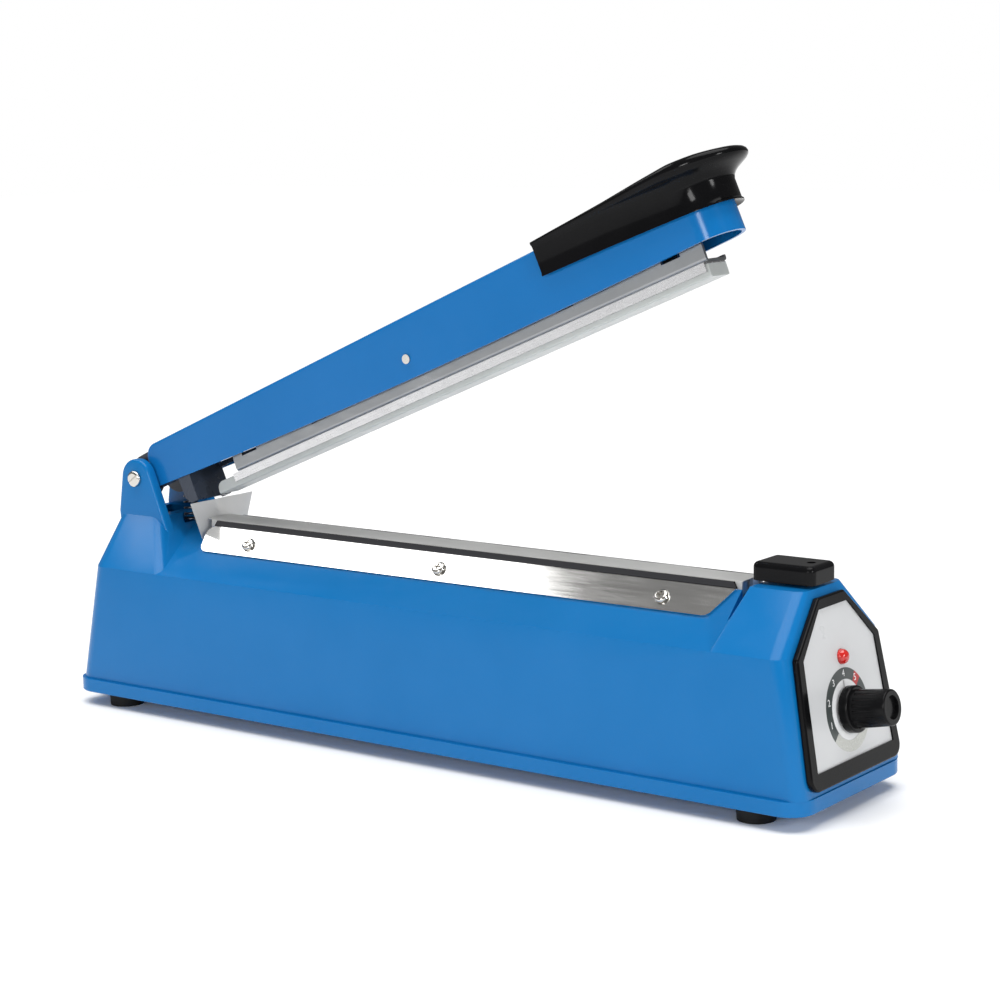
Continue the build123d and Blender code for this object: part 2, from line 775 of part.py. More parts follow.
# ---- Cord grommet in the rear wall ----
with BuildPart() as cord_grommet:
    with BuildSketch(rear_wall.offset(panel_back - 1.5)):
        Circle(6.8)
    extrude(amount=1.5)
    with BuildSketch(rear_wall.offset(panel_back)):
        Circle(5.0)
    extrude(amount=-panel_back)
    with BuildSketch(rear_wall):
        Circle(7.5)
    extrude(amount=1.8)
    fillet(cord_grommet.faces().sort_by(Axis.X)[0].edges(), 0.7)
    with BuildSketch(rear_wall.offset(panel_back - 2)):
        Circle(3.2)
    extrude(amount=8, mode=Mode.SUBTRACT)
write("cord_grommet", cord_grommet.part)

# ---- Terminals for the heating wire's ends ----
with BuildPart() as wire_terminals:
    with BuildSketch(Plane.XY.offset(terminal_top - 7)):
        with Locations((terminal_rib_rear - 5, 0), (terminal_rib_front + 5, 0)):
            Rectangle(6, 8)
    extrude(amount=7)
write("wire_terminals", wire_terminals.part)

# ---- Transformer, its strap, and the timer board, on the tray's floor ----
core_height = 42.0
core_top = tray_floor + core_height
coil_middle = tray_floor + core_height / 2
with BuildPart() as transformer_core:
    with BuildSketch(Plane.XZ.offset(-11)):
        with Locations((core_x, coil_middle)):
            Rectangle(50, core_height)
        with Locations((core_x - 12.6, coil_middle), (core_x + 12.6, coil_middle)):
            Rectangle(8.4, 25, mode=Mode.SUBTRACT)
    extrude(amount=22)
write("transformer_core", transformer_core.part)

with BuildPart() as transformer_coil:
    with BuildSketch(Plane.XY.offset(coil_middle - 12.3)):
        with Locations((core_x, 0)):
            RectangleRounded(32.8, 38, 5)
            Rectangle(16.8, 22, mode=Mode.SUBTRACT)
    extrude(amount=24.6)
write("transformer_coil", transformer_coil.part)

with BuildPart() as transformer_strap:
    with BuildSketch(Plane.XZ.offset(-10)):
        with BuildLine():
            Polyline(
                (core_x - 34, tray_floor),
                (core_x - 25, tray_floor),
                (core_x - 25, core_top),
                (core_x + 25, core_top),
                (core_x + 25, tray_floor),
                (core_x + 34, tray_floor),
                (core_x + 34, tray_floor + 1.2),
                (core_x + 26.2, tray_floor + 1.2),
                (core_x + 26.2, core_top + 1.2),
                (core_x - 26.2, core_top + 1.2),
                (core_x - 26.2, tray_floor + 1.2),
                (core_x - 34, tray_floor + 1.2),
                close=True,
            )
        make_face()
    extrude(amount=20)
    with BuildSketch(Plane.XY.offset(tray_floor)):
        with Locations((core_x - 30.2, 0), (core_x + 30.2, 0)):
            Circle(1.6)
    extrude(amount=2, mode=Mode.SUBTRACT)
write("transformer_strap", transformer_strap.part)

board_x = rear + 110.0
board_low = tray_floor + 6
with BuildPart() as timer_board:
    with BuildSketch(Plane.XY.offset(board_low)):
        with Locations((board_x, 0)):
            Rectangle(64, 42)
    extrude(amount=1.6)
    with BuildSketch(Plane.XY.offset(tray_floor)):
        with Locations((board_x, 0)):
            with GridLocations(56, 34, 2, 2):
                Circle(2.4)
    extrude(amount=6)
write("timer_board", timer_board.part)

with BuildPart() as board_components:
    with BuildSketch(Plane.XY.offset(board_low + 1.6)):
        with Locations((board_x - 18, 6)):
            Rectangle(19, 15)
    extrude(amount=15)
    with BuildSketch(Plane.XY.offset(board_low + 1.6)):
        with Locations((board_x + 4, 8), (board_x + 16, 8)):
            Circle(4)
    extrude(amount=11)
    with BuildSketch(Plane.XY.offset(board_low + 1.6)):
        with Locations((board_x + 2, -9), (board_x + 8, -9), (board_x + 14, -9)):
            Rectangle(2.4, 7)
    extrude(amount=2.4)
    with BuildSketch(Plane.XY.offset(board_low + 1.6)):
        with Locations((board_x - 18, -11)):
            Rectangle(10, 4.4)
    extrude(amount=14)
write("board_components", board_components.part)

# Screws through the strap's feet into the tray.
with BuildPart() as strap_screws:
    with BuildSketch(Plane.XY.offset(tray_floor + 1.2)):
        with Locations((core_x - 30.2, 0), (core_x + 30.2, 0)):
            Circle(2.8)
    extrude(amount=1.6)
    with BuildSketch(Plane.XY.offset(foot_height)):
        with Locations((core_x - 30.2, 0), (core_x + 30.2, 0)):
            Circle(1.6)
    extrude(amount=3.2)
write("strap_screws", strap_screws.part)


# ---- Hinge pin and its clip ----
with BuildPart() as hinge_pin:
    with BuildSketch(Plane.XZ.offset(-17.4)):
        with Locations((pivot_x, pivot_z)):
            Circle(pin_radius)
    extrude(amount=17.4 + ear_outer)
    with BuildSketch(Plane.XZ.offset(ear_outer)):
        with Locations((pivot_x, pivot_z)):
            Circle(3.2)
    extrude(amount=1.6)
    fillet(hinge_pin.faces().sort_by(Axis.Y)[0].edges(), 1.0)
    with BuildSketch(Plane.XZ.offset(ear_outer + 0.9)):
        with Locations((pivot_x, pivot_z)):
            Rectangle(7, 0.8, rotation=35)
    extrude(amount=1, mode=Mode.SUBTRACT)
write("hinge_pin", hinge_pin.part)

with BuildPart() as hinge_clip:
    with BuildSketch(Plane.XZ.offset(-ear_outer - 0.9)):
        with Locations((pivot_x, pivot_z)):
            Circle(4.3)
            Circle(pin_radius, mode=Mode.SUBTRACT)
        with Locations((pivot_x, pivot_z - 4)):
            Rectangle(2.4, 6, mode=Mode.SUBTRACT)
    extrude(amount=0.8)
write("hinge_clip", hinge_clip.part)

# ---- Hinge bracket and sleeve, inside the arm's tail ----
bracket_half = arm_half - arm_wall
bracket_sheet = 1.5
leg_end = -17.2  # the cheeks' legs reach this far under the arm's axis
leg_front = 22.0
sleeve_radius = 3.6


def arm_top_at(u):
    """Height of the arm's top face above its axis, at distance u."""
    return 10.35 - (u - 9.6) * 0.01228


with BuildPart() as hinge_bracket:
    with BuildSketch(arm_side.offset(-bracket_half)):
        with BuildLine():
            Polyline((0, -6.5), (leg_front - 6.4, -6.5), (leg_front - 6.0, -14.6), (leg_front - 3.8, leg_end),
                     (leg_front, leg_end), (leg_front, -6.5), (42, -6.5),
                     (42, arm_top_at(42) - arm_top_wall), (8, arm_top_at(8) - arm_top_wall - 0.1),
                     (0, 8.4), (0, -6.5))
        make_face()
        Circle(8.4)
    extrude(amount=2 * bracket_half)
    with BuildSketch(arm_side.offset(bracket_sheet - bracket_half)):
        with BuildLine():
            Polyline(
                (-12, -20), (60, -20), (60, arm_top_at(60) - arm_top_wall - bracket_sheet),
                (12, arm_top_at(12) - arm_top_wall - bracket_sheet), (12, 20), (-12, 20), close=True,
            )
        make_face()
    extrude(amount=2 * (bracket_half - bracket_sheet), mode=Mode.SUBTRACT)
    # cross plate between the legs
    with BuildSketch(arm_side.offset(-bracket_half)):
        with BuildLine():
            Polyline((leg_front - 1.2, leg_end), (leg_front, leg_end), (leg_front, -2.0),
                     (leg_front - 1.2, -2.0), close=True)
        make_face()
    extrude(amount=2 * bracket_half)
    with BuildSketch(arm_side.offset(-20)):
        Circle(sleeve_radius)
    extrude(amount=40, mode=Mode.SUBTRACT)
write("hinge_bracket", hinge_bracket.part)

with BuildPart() as hinge_sleeve:
    with BuildSketch(arm_side.offset(-ear_inner + 0.3)):
        Circle(sleeve_radius)
        Circle(pin_radius + shaft_clearance, mode=Mode.SUBTRACT)
    extrude(amount=2 * (ear_inner - 0.3))
write("hinge_sleeve", hinge_sleeve.part)

# ---- Arm channel ----
guide_u, guide_v = 143.0, -5.6
arm_nose = nose_centre + arm_half
handle_screw_places = (226.0, 258.0)

with BuildPart() as arm_solid:
    with BuildSketch(arm_side.offset(-arm_half)):
        with BuildLine():
            tail_top = (arm_tail + 5.0, arm_top_at(9.6))
            tail_low = (arm_tail, 5.0)
            bottom_rear = (arm_tail, -5.7)
            bottom_front = (arm_nose, -arm_front_depth)
            Line(tail_top, (arm_nose, arm_top_at(arm_nose)))
            Line((arm_nose, arm_top_at(arm_nose)), bottom_front)
            Bezier(bottom_front, (143.5, -15.0), bottom_rear)
            Line(bottom_rear, tail_low)
            TangentArc(tail_low, tail_top, tangent=(0, 1))
        make_face()
    extrude(amount=2 * arm_half)
    with BuildSketch(arm_plan.offset(-30)):
        with Locations((nose_centre / 2 - 5, 0)):
            Rectangle(nose_centre + 10, 2 * arm_half)
        with Locations((nose_centre, 0)):
            Circle(arm_half)
    extrude(amount=60, mode=Mode.INTERSECT)
arm_outer = arm_solid.part

with BuildPart() as arm_channel:
    add(arm_outer)
    top_edges = arm_channel.edges().filter_by(
        lambda e: arm_plan.to_local_coords(e.center()).Z > 6.9 and abs(e.center().Y) > 10
    )
    fillet(top_edges, 1.1)
    # inside, open underneath and at the tail
    with BuildSketch(arm_plan.offset(-30)):
        with Locations((nose_centre / 2 - 10, 0)):
            Rectangle(nose_centre + 20, 2 * bracket_half)
        with Locations((nose_centre, 0)):
            Circle(bracket_half)
    extrude(amount=30 + arm_top_at(arm_nose) - arm_top_wall, mode=Mode.SUBTRACT)
    with BuildSketch(arm_side.offset(-bracket_half)):
        with BuildLine():
            Polyline(
                (-10, 0), (nose_centre, 0), (nose_centre, arm_top_at(nose_centre) - arm_top_wall),
                (-10, arm_top_at(-10) - arm_top_wall), close=True,
            )
        make_face()
    extrude(amount=2 * bracket_half, mode=Mode.SUBTRACT)
    with BuildSketch(arm_side.offset(-20)):
        with Locations((guide_u, guide_v)):
            Circle(1.5)
    extrude(amount=40, mode=Mode.SUBTRACT)
    with BuildSketch(arm_plan):
        with Locations(*[(u, 0) for u in handle_screw_places]):
            Circle(1.4)
    extrude(amount=12, mode=Mode.SUBTRACT)
write("arm_channel", arm_channel.part)

with BuildPart() as guide_pin:
    with BuildSketch(arm_side.offset(-arm_half)):
        with Locations((guide_u, guide_v)):
            Circle(1.5)
    extrude(amount=2 * arm_half)
    for side in (-arm_half - 0.6, arm_half):
        with BuildSketch(arm_side.offset(side)):
            with Locations((guide_u, guide_v)):
                Circle(1.7)
        extrude(amount=0.6)
write("guide_pin", guide_pin.part)

# ---- Handle over the arm's nose ----
handle_half = 12.6


def handle_outline(v, rear_half, front_half, front_radius):
    """Plan outline of the handle at height v: sides that widen to the front, and a round nose."""
    front_u = nose_centre + front_radius
    with BuildSketch(arm_plan.offset(v)) as outline:
        with BuildLine():
            side_near = (nose_centre, -front_half)
            side_far = (nose_centre, front_half)
            Line((211.7, -rear_half), side_near)
            ThreePointArc(
                side_near,
                (nose_centre + front_radius * 0.745, -front_half * 0.667),
                (front_u - 0.6, -front_half * 0.2),
            )
            ThreePointArc((front_u - 0.6, -front_half * 0.2), (front_u, 0),
                          (front_u - 0.6, front_half * 0.2))
            ThreePointArc(
                (front_u - 0.6, front_half * 0.2),
                (nose_centre + front_radius * 0.745, front_half * 0.667),
                side_far,
            )
            Line(side_far, (211.7, rear_half))
            Line((211.7, rear_half), (211.7, -rear_half))
        make_face()
    return outline.sketch


with BuildPart() as arm_handle:
    add(handle_outline(-4.2, handle_half, handle_half, 13.3))
    add(handle_outline(4.4, handle_half, handle_half + 0.2, 14.3))
    add(handle_outline(9.2, handle_half + 0.8, handle_half + 4.4, 21.8))
    add(handle_outline(12.2, handle_half + 0.8, handle_half + 4.4, 21.8))
    loft(ruled=True)
    # side shape: a low rear lip, and a crown that falls towards the nose
    with BuildSketch(arm_side.offset(-25)):
        with BuildLine():
            Polyline((213.0, -2.2), (211.7, -1.2), (211.7, 10.4), (221.0, 10.7), (243.5, 11.1))
            Spline((243.5, 11.1), (261.0, 12.0), (278.0, 11.9), (287.0, 11.2), (294.0, 8.8))
            Polyline((294.0, 8.8), (294.0, 2.0), (285.4, -4.0), (273.4, -3.8), (236.9, -3.1),
                     (213.0, -2.2))
        make_face()
    extrude(amount=50, mode=Mode.INTERSECT)
    add(arm_outer, mode=Mode.SUBTRACT)
    with BuildSketch(arm_plan):
        with Locations(*[(u, 0) for u in handle_screw_places]):
            Circle(1.4)
    extrude(amount=9.6, mode=Mode.SUBTRACT)
write("arm_handle", arm_handle.part)

with BuildPart() as handle_screws:
    for u in handle_screw_places:
        under = arm_top_at(u) - arm_top_wall
        with BuildSketch(arm_plan.offset(under - 0.1)):
            with Locations((u, 0)):
                Circle(2.6)
        extrude(amount=-1.5)
        with BuildSketch(arm_plan.offset(under - 0.1)):
            with Locations((u, 0)):
                Circle(1.4)
        extrude(amount=9.4 - under)
write("handle_screws", handle_screws.part)

# ---- Press bar: channel, rail, silicone strip and rivets ----
channel_rear, channel_front = 45.0, 271.0
guide_along = guide_u * cos(radians(closed_angle)) + (guide_v - press_line) * -sin(radians(closed_angle))
guide_up = guide_u * sin(radians(closed_angle)) + (guide_v - press_line) * cos(radians(closed_angle))
press_travel = 3.7
window_places = (54.0, 92.0, 212.0, 258.0)
rivet_places = (60.0, 155.0, 250.0)
spring_places = (75.0, 215.0)

with BuildPart() as press_channel:
    with BuildSketch(press_section(channel_rear)):
        with Locations((0, channel_bottom + channel_height / 2)):
            Rectangle(2 * channel_half, channel_height)
        with Locations((0, channel_bottom + channel_wall + channel_height / 2)):
            Rectangle(2 * (channel_half - channel_wall), channel_height, mode=Mode.SUBTRACT)
    extrude(amount=channel_front - channel_rear)
    folds = press_channel.edges().filter_by(
        lambda e: abs(press_plan(channel_bottom).to_local_coords(e.center()).Z) < 0.01
        and abs(e.center().Y) > channel_half - 0.01
    )
    fillet(folds, 1.1)
    # the far side stops short of the front end, and the floor ends with the rail
    with BuildSketch(press_side.offset(-channel_half)):
        with BuildLine():
            Polyline((250.0, 30), (252.0, 7.0), (272, 7.0), (272, 30), close=True)
        make_face()
    extrude(amount=channel_wall, mode=Mode.SUBTRACT)
    with BuildSketch(press_side.offset(-channel_half)):
        with BuildLine():
            Polyline((268.6, 0), (272, 0), (272, 30), (268.6, 30), close=True)
        make_face()
    extrude(amount=2 * channel_half - channel_wall, mode=Mode.SUBTRACT)
    # windows in both sides, and the slots for the guide pin
    with BuildSketch(press_side.offset(-20)):
        with Locations(*[(u, channel_bottom + 6.6) for u in window_places]):
            Rectangle(8, 4)
        with Locations((guide_along, guide_up - press_travel / 2)):
            SlotOverall(press_travel + 4.4, 3.7, rotation=90)
    extrude(amount=40, mode=Mode.SUBTRACT)
    with BuildSketch(press_plan(0)):
        with Locations(*[(u, 0) for u in rivet_places]):
            Circle(1.5)
    extrude(amount=8, mode=Mode.SUBTRACT)
write("press_channel", press_channel.part)

with BuildPart() as press_rail:
    with BuildSketch(press_section(41.0)):
        with Locations((0, (rail_bottom + channel_bottom) / 2)):
            Rectangle(2 * rail_half, channel_bottom - rail_bottom)
        with Locations((0, rail_bottom - 1 + (silicone_height - rail_bottom + 1) / 2)):
            Rectangle(2 * silicone_half, silicone_height - rail_bottom + 1, mode=Mode.SUBTRACT)
        # fine grooves along both sides
        with Locations((0, 3.5)):
            with GridLocations(2 * rail_half, 0.9, 2, 3):
                Rectangle(0.5, 0.3, mode=Mode.SUBTRACT)
    extrude(amount=268.6 - 41.0)
    with BuildSketch(press_plan(0)):
        with Locations(*[(u, 0) for u in rivet_places]):
            Circle(1.5)
    extrude(amount=8, mode=Mode.SUBTRACT)
write("press_rail", press_rail.part)

with BuildPart() as silicone_strip:
    with BuildSketch(press_side.offset(-silicone_half)):
        with BuildLine():
            Polyline((33.5, silicone_height), (269.4, silicone_height), (269.4, 0), (30.5, 0),
                     (30.5, 1.5))
            RadiusArc((30.5, 1.5), (33.5, silicone_height), 3.0)
        make_face()
    extrude(amount=2 * silicone_half)
    under_edges = silicone_strip.edges().filter_by(
        lambda e: abs(press_plan(0).to_local_coords(e.center()).Z) < 0.01 and e.length > 100
    )
    fillet(under_edges, 0.8)
write("silicone_strip", silicone_strip.part)

with BuildPart() as press_rivets:
    with BuildSketch(press_plan(silicone_height)):
        with Locations(*[(u, 0) for u in rivet_places]):
            Circle(1.5)
    extrude(amount=channel_bottom + channel_wall - silicone_height)
    with BuildSketch(press_plan(channel_bottom + channel_wall)):
        with Locations(*[(u, 0) for u in rivet_places]):
            Circle(2.6)
    extrude(amount=1.2)
write("press_rivets", press_rivets.part)


# ---- Springs ----
def coil_spring(low, coil_height, turns, radius, wire):
    """An open coil spring that stands on the plane low, with its wire's middle on the coil."""
    start = low.offset(wire / 2)
    path = Helix(pitch=(coil_height - wire) / turns, height=coil_height - wire, radius=radius)
    section_plane = Plane(origin=path @ 0, z_dir=path % 0)
    with BuildPart() as coil:
        with BuildSketch(section_plane):
            Circle(wire / 2)
        sweep(path=path, is_frenet=True)
    return start.from_local_coords(coil.part)


web_at_spring = (arm_top_at(20) - arm_top_wall - bracket_sheet + 14.8 * sin(open_rad)) / cos(open_rad)
return_height = pivot_z + web_at_spring - 1.9 - spring_foot
return_spring = coil_spring(Plane.XY.offset(spring_foot).move(Location((spring_x, 0, 0))),
                            return_height, 13, 2.9, 0.9)
write("return_spring", return_spring)

press_springs = []
for place in spring_places:
    spring_low = press_plan(channel_bottom + channel_wall)
    at_arm = spring_low.origin + press_u * place
    gap = arm_top_at(place) - arm_top_wall - arm_plan.to_local_coords(at_arm).Z - 0.3
    press_springs.append(coil_spring(Plane(origin=at_arm, x_dir=press_u, z_dir=press_v),
                                     gap, 7, 4.0, 1.0))
write("press_springs", Compound(children=press_springs))
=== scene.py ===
import json
from math import atan, cos, pi, radians, sin, tan

import bmesh
import bpy
from mathutils import Matrix, Vector


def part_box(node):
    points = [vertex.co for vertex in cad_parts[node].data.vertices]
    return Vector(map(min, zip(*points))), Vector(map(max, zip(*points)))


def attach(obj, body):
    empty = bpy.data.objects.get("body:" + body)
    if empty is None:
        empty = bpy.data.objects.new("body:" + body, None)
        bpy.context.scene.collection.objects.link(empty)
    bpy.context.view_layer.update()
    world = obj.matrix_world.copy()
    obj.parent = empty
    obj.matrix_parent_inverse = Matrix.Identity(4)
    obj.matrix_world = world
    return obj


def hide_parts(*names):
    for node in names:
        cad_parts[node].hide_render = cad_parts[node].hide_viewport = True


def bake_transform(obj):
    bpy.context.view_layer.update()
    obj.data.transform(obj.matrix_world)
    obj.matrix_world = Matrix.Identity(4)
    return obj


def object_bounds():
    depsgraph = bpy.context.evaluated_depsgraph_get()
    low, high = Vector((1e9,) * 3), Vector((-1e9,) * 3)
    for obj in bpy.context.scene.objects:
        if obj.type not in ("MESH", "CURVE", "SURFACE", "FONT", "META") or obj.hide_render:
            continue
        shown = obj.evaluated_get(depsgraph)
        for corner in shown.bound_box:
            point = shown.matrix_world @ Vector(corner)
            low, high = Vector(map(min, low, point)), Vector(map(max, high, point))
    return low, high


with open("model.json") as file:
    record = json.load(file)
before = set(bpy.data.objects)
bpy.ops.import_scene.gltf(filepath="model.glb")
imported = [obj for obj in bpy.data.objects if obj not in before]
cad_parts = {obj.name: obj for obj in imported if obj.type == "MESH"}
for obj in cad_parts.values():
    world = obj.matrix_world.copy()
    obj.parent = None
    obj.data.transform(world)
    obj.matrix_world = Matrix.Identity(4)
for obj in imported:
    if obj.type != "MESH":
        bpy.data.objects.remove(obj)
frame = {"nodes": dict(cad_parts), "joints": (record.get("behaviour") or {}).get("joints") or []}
cad_low, cad_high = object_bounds()
joints = {j["name"]: j for j in frame["joints"]}

# Lengths below are in millimetres, in the CAD model's frame; every mesh is scaled to metres.
MM = 0.001
rear = cad_low.x / MM
pivot = Vector(joints["arm_hinge"]["pos_m"]) / MM
dial = Vector(joints["knob_turn"]["pos_m"]) / MM
lean = atan(0.1776)

# ---- Camera, at the photograph's angle ----
azimuth, elevation, roll = radians(37.084), radians(9.496), radians(-1.2755)
aim_point = Vector((0.0142, 0, 0.09007))
camera_distance = 0.86573
back = Vector((sin(azimuth) * cos(elevation), -cos(azimuth) * cos(elevation), sin(elevation)))
right = Vector((cos(azimuth), sin(azimuth), 0))
up = back.cross(right)
level = Matrix((right, up, back)).transposed()
camera_data = bpy.data.cameras.new("camera")
camera_data.lens = 88.51
camera_data.sensor_width = 36.0
camera_data.clip_start = 0.05
camera_data.clip_end = 50.0
camera = bpy.data.objects.new("camera", camera_data)
turned = level @ Matrix.Rotation(roll, 3, "Z")
camera.matrix_world = Matrix.Translation(aim_point + back * camera_distance) @ turned.to_4x4()
bpy.context.scene.collection.objects.link(camera)
bpy.context.scene.camera = camera


# ---- Materials ----
def nodes_of(material):
    material.use_nodes = True
    tree = material.node_tree
    return tree, tree.nodes["Principled BSDF"]


def link(tree, a, b):
    tree.links.new(a, b)


def noise(tree, scale, detail=3.0, stretch=(1, 1, 1), rough=0.5):
    """Noise in object space, per metre, stretched along an axis where that is asked for."""
    place = tree.nodes.new("ShaderNodeTexCoord")
    mapping = tree.nodes.new("ShaderNodeMapping")
    mapping.inputs["Scale"].default_value = stretch
    texture = tree.nodes.new("ShaderNodeTexNoise")
    texture.inputs["Scale"].default_value = scale
    texture.inputs["Detail"].default_value = detail
    texture.inputs["Roughness"].default_value = rough
    link(tree, place.outputs["Object"], mapping.inputs["Vector"])
    link(tree, mapping.outputs["Vector"], texture.inputs["Vector"])
    return texture.outputs["Fac"]


def remap(tree, value, low, high, start=0.3, end=0.7):
    node = tree.nodes.new("ShaderNodeMapRange")
    node.inputs["From Min"].default_value = start
    node.inputs["From Max"].default_value = end
    node.inputs["To Min"].default_value = low
    node.inputs["To Max"].default_value = high
    link(tree, value, node.inputs["Value"])
    return node.outputs["Result"]


def blend_colours(tree, factor, a, b):
    node = tree.nodes.new("ShaderNodeMix")
    node.data_type = "RGBA"
    node.inputs["A"].default_value = (*a, 1)
    node.inputs["B"].default_value = (*b, 1)
    link(tree, factor, node.inputs["Factor"])
    return node.outputs["Result"]


def bump(tree, shader, height, strength, distance):
    node = tree.nodes.new("ShaderNodeBump")
    node.inputs["Strength"].default_value = strength
    node.inputs["Distance"].default_value = distance
    link(tree, height, node.inputs["Height"])
    link(tree, node.outputs["Normal"], shader.inputs["Normal"])


def plastic(name, colour, rough=0.25, grain=900.0, grain_depth=0.00002, wear=0.12, coat=0.0, spec=0.5):
    """Moulded plastic or paint: a fine surface grain, uneven gloss, and slight colour drift."""
    material = bpy.data.materials.new(name)
    tree, shader = nodes_of(material)
    shader.inputs["Specular IOR Level"].default_value = spec
    shader.inputs["Coat Weight"].default_value = coat
    shader.inputs["Coat Roughness"].default_value = 0.08
    broad = noise(tree, 28, 4)
    paler = tuple(min(1.0, c * (1 + wear) + 0.004) for c in colour)
    darker = tuple(c * (1 - wear) for c in colour)
    link(tree, blend_colours(tree, remap(tree, broad, 0, 1), darker, paler), shader.inputs["Base Color"])
    smudge = noise(tree, 75, 5)
    link(tree, remap(tree, smudge, rough * 0.8, rough * 1.25), shader.inputs["Roughness"])
    bump(tree, shader, noise(tree, grain, 2), 0.35, grain_depth)
    return material


def metal(name, colour, rough=0.3, stretch=(1, 1, 1), scratch=2200.0, depth=0.00001, wear=0.1):
    """Metal with fine drawn or rolled lines and a little uneven tarnish."""
    material = bpy.data.materials.new(name)
    tree, shader = nodes_of(material)
    shader.inputs["Metallic"].default_value = 1.0
    tarnish = noise(tree, 60, 5)
    darker = tuple(c * (1 - wear) for c in colour)
    link(tree, blend_colours(tree, remap(tree, tarnish, 0, 1), darker, colour), shader.inputs["Base Color"])
    lines = noise(tree, scratch, 3, stretch, 0.6)
    link(tree, remap(tree, lines, rough * 0.75, rough * 1.3), shader.inputs["Roughness"])
    bump(tree, shader, lines, 0.4, depth)
    return material


def weave(name, light, dark, pitch, rough):
    """A fine woven cloth: two crossing waves, with a waxy surface."""
    material = bpy.data.materials.new(name)
    tree, shader = nodes_of(material)
    place = tree.nodes.new("ShaderNodeTexCoord")
    total = None
    for direction in ("X", "Y", "Z"):
        wave = tree.nodes.new("ShaderNodeTexWave")
        wave.bands_direction = direction
        wave.inputs["Scale"].default_value = 0.31 / pitch
        wave.inputs["Distortion"].default_value = 0.6
        wave.inputs["Detail"].default_value = 1.0
        link(tree, place.outputs["Object"], wave.inputs["Vector"])
        if total is None:
            total = wave.outputs["Fac"]
        else:
            add = tree.nodes.new("ShaderNodeMath")
            add.operation = "ADD"
            link(tree, total, add.inputs[0])
            link(tree, wave.outputs["Fac"], add.inputs[1])
            total = add.outputs["Value"]
    cloudy = noise(tree, 45, 4)
    link(tree, blend_colours(tree, remap(tree, cloudy, 0, 1), dark, light), shader.inputs["Base Color"])
    shader.inputs["Roughness"].default_value = rough
    shader.inputs["Sheen Weight"].default_value = 0.15
    bump(tree, shader, total, 0.3, 0.00003)
    return material


blue_shell = plastic("blue_shell", (0.003, 0.152, 0.420), 0.18, 500, 0.000004, 0.02, 0, 0.2)
blue_paint = plastic("blue_enamel", (0.003, 0.142, 0.410), 0.18, 500, 0.000005, 0.02, 0, 0.2)
black_gloss = plastic("black_gloss", (0.003, 0.003, 0.0035), 0.13, 500, 0.000003, 0.15, 0, 0.10)
knob_black = plastic("knob_black", (0.003, 0.003, 0.0035), 0.20, 900, 0.000006, 0.2, 0, 0.12)
foot_rubber = plastic("foot_rubber", (0.012, 0.012, 0.012), 0.65, 1800, 0.00005, 0.2, 0, 0.2)
label_face = plastic("label_face", (0.58, 0.59, 0.60), 0.34, 1600, 0.000005, 0.02)
dark_mould = plastic("dark_mould", (0.02, 0.02, 0.021), 0.45, 1200, 0.00003, 0.2, 0, 0.3)
red_mould = plastic("red_mould", (0.42, 0.03, 0.02), 0.35, 900, 0.00002, 0.1)
coil_yellow = plastic("coil_yellow", (0.62, 0.44, 0.07), 0.4, 400, 0.00005, 0.1)
board_green = plastic("board_green", (0.02, 0.15, 0.05), 0.35, 300, 0.00004, 0.2)
# the hinge bracket's near-black navy is partly its dark paint and partly painted shade, standing in for the shade
# between the ears
bracket_paint_and_shade = plastic("bracket_paint_and_shade", (0.030, 0.040, 0.060), 0.25, 500, 0.00001, 0.1, 0, 0.35)
nickel = metal("nickel", (0.66, 0.64, 0.60), 0.16, (1, 1, 1), 1500, 0.000004)
zinc = metal("zinc", (0.62, 0.61, 0.58), 0.28, (1, 1, 1), 1500)
plate_metal = metal("plate_metal", (0.80, 0.79, 0.77), 0.11, (0.06, 1, 1), 900, 0.000001, 0.03)
rail_metal = metal("rail_metal", (0.66, 0.66, 0.67), 0.24, (0.06, 1, 0.2), 2600, 0.000008, 0.06)

# painted reflection: above a set height the clamp plates' slanted lips turn near black, standing in for the dark
# channel above that they would mirror
painted_reflection_start, painted_reflection_full = 0.0701, 0.0703
tree, shader = nodes_of(plate_metal)
height = tree.nodes.new("ShaderNodeSeparateXYZ")
link(tree, tree.nodes.new("ShaderNodeTexCoord").outputs["Object"], height.inputs["Vector"])
painted_reflection_mask = remap(tree, height.outputs["Z"], 0.0, 1.0, painted_reflection_start, painted_reflection_full)
painted_reflection_mix = tree.nodes.new("ShaderNodeMix")
painted_reflection_mix.data_type = "RGBA"
painted_reflection_mix.inputs["B"].default_value = (0.035, 0.035, 0.038, 1)
link(tree, painted_reflection_mask, painted_reflection_mix.inputs["Factor"])
link(tree, shader.inputs["Base Color"].links[0].from_socket, painted_reflection_mix.inputs["A"])
link(tree, painted_reflection_mix.outputs["Result"], shader.inputs["Base Color"])

bar_metal = metal("bar_metal", (0.72, 0.72, 0.73), 0.35, (0.06, 1, 1), 2000)
channel_metal = metal("channel_metal", (0.33, 0.34, 0.35), 0.36, (0.06, 1, 0.2), 1800, 0.000006, 0.08)
spring_metal = metal("spring_metal", (0.10, 0.10, 0.11), 0.32, (1, 1, 1), 1500)
brass = metal("terminal_brass", (0.72, 0.52, 0.24), 0.3)
lamination = metal("lamination", (0.24, 0.23, 0.22), 0.5, (1, 30, 1), 400, 0.00006, 0.2)
ribbon = metal("ribbon", (0.42, 0.40, 0.38), 0.35, (0.1, 1, 1), 2500)
cloth = weave("coated_cloth", (0.50, 0.50, 0.49), (0.43, 0.43, 0.42), 0.0007, 0.34)
# the standing flap is the same cloth painted paler, a painted light standing in for light shining through it from
# behind; its alpha lets the backdrop show through
flap_cloth_painted_light = weave("loose_cloth_painted_light", (0.74, 0.74, 0.73), (0.62, 0.62, 0.61), 0.0007, 0.30)
flap_cloth_painted_light.node_tree.nodes["Principled BSDF"].inputs["Alpha"].default_value = 0.78
glass_tape = weave("glass_tape", (0.52, 0.40, 0.24), (0.42, 0.31, 0.18), 0.001, 0.6)

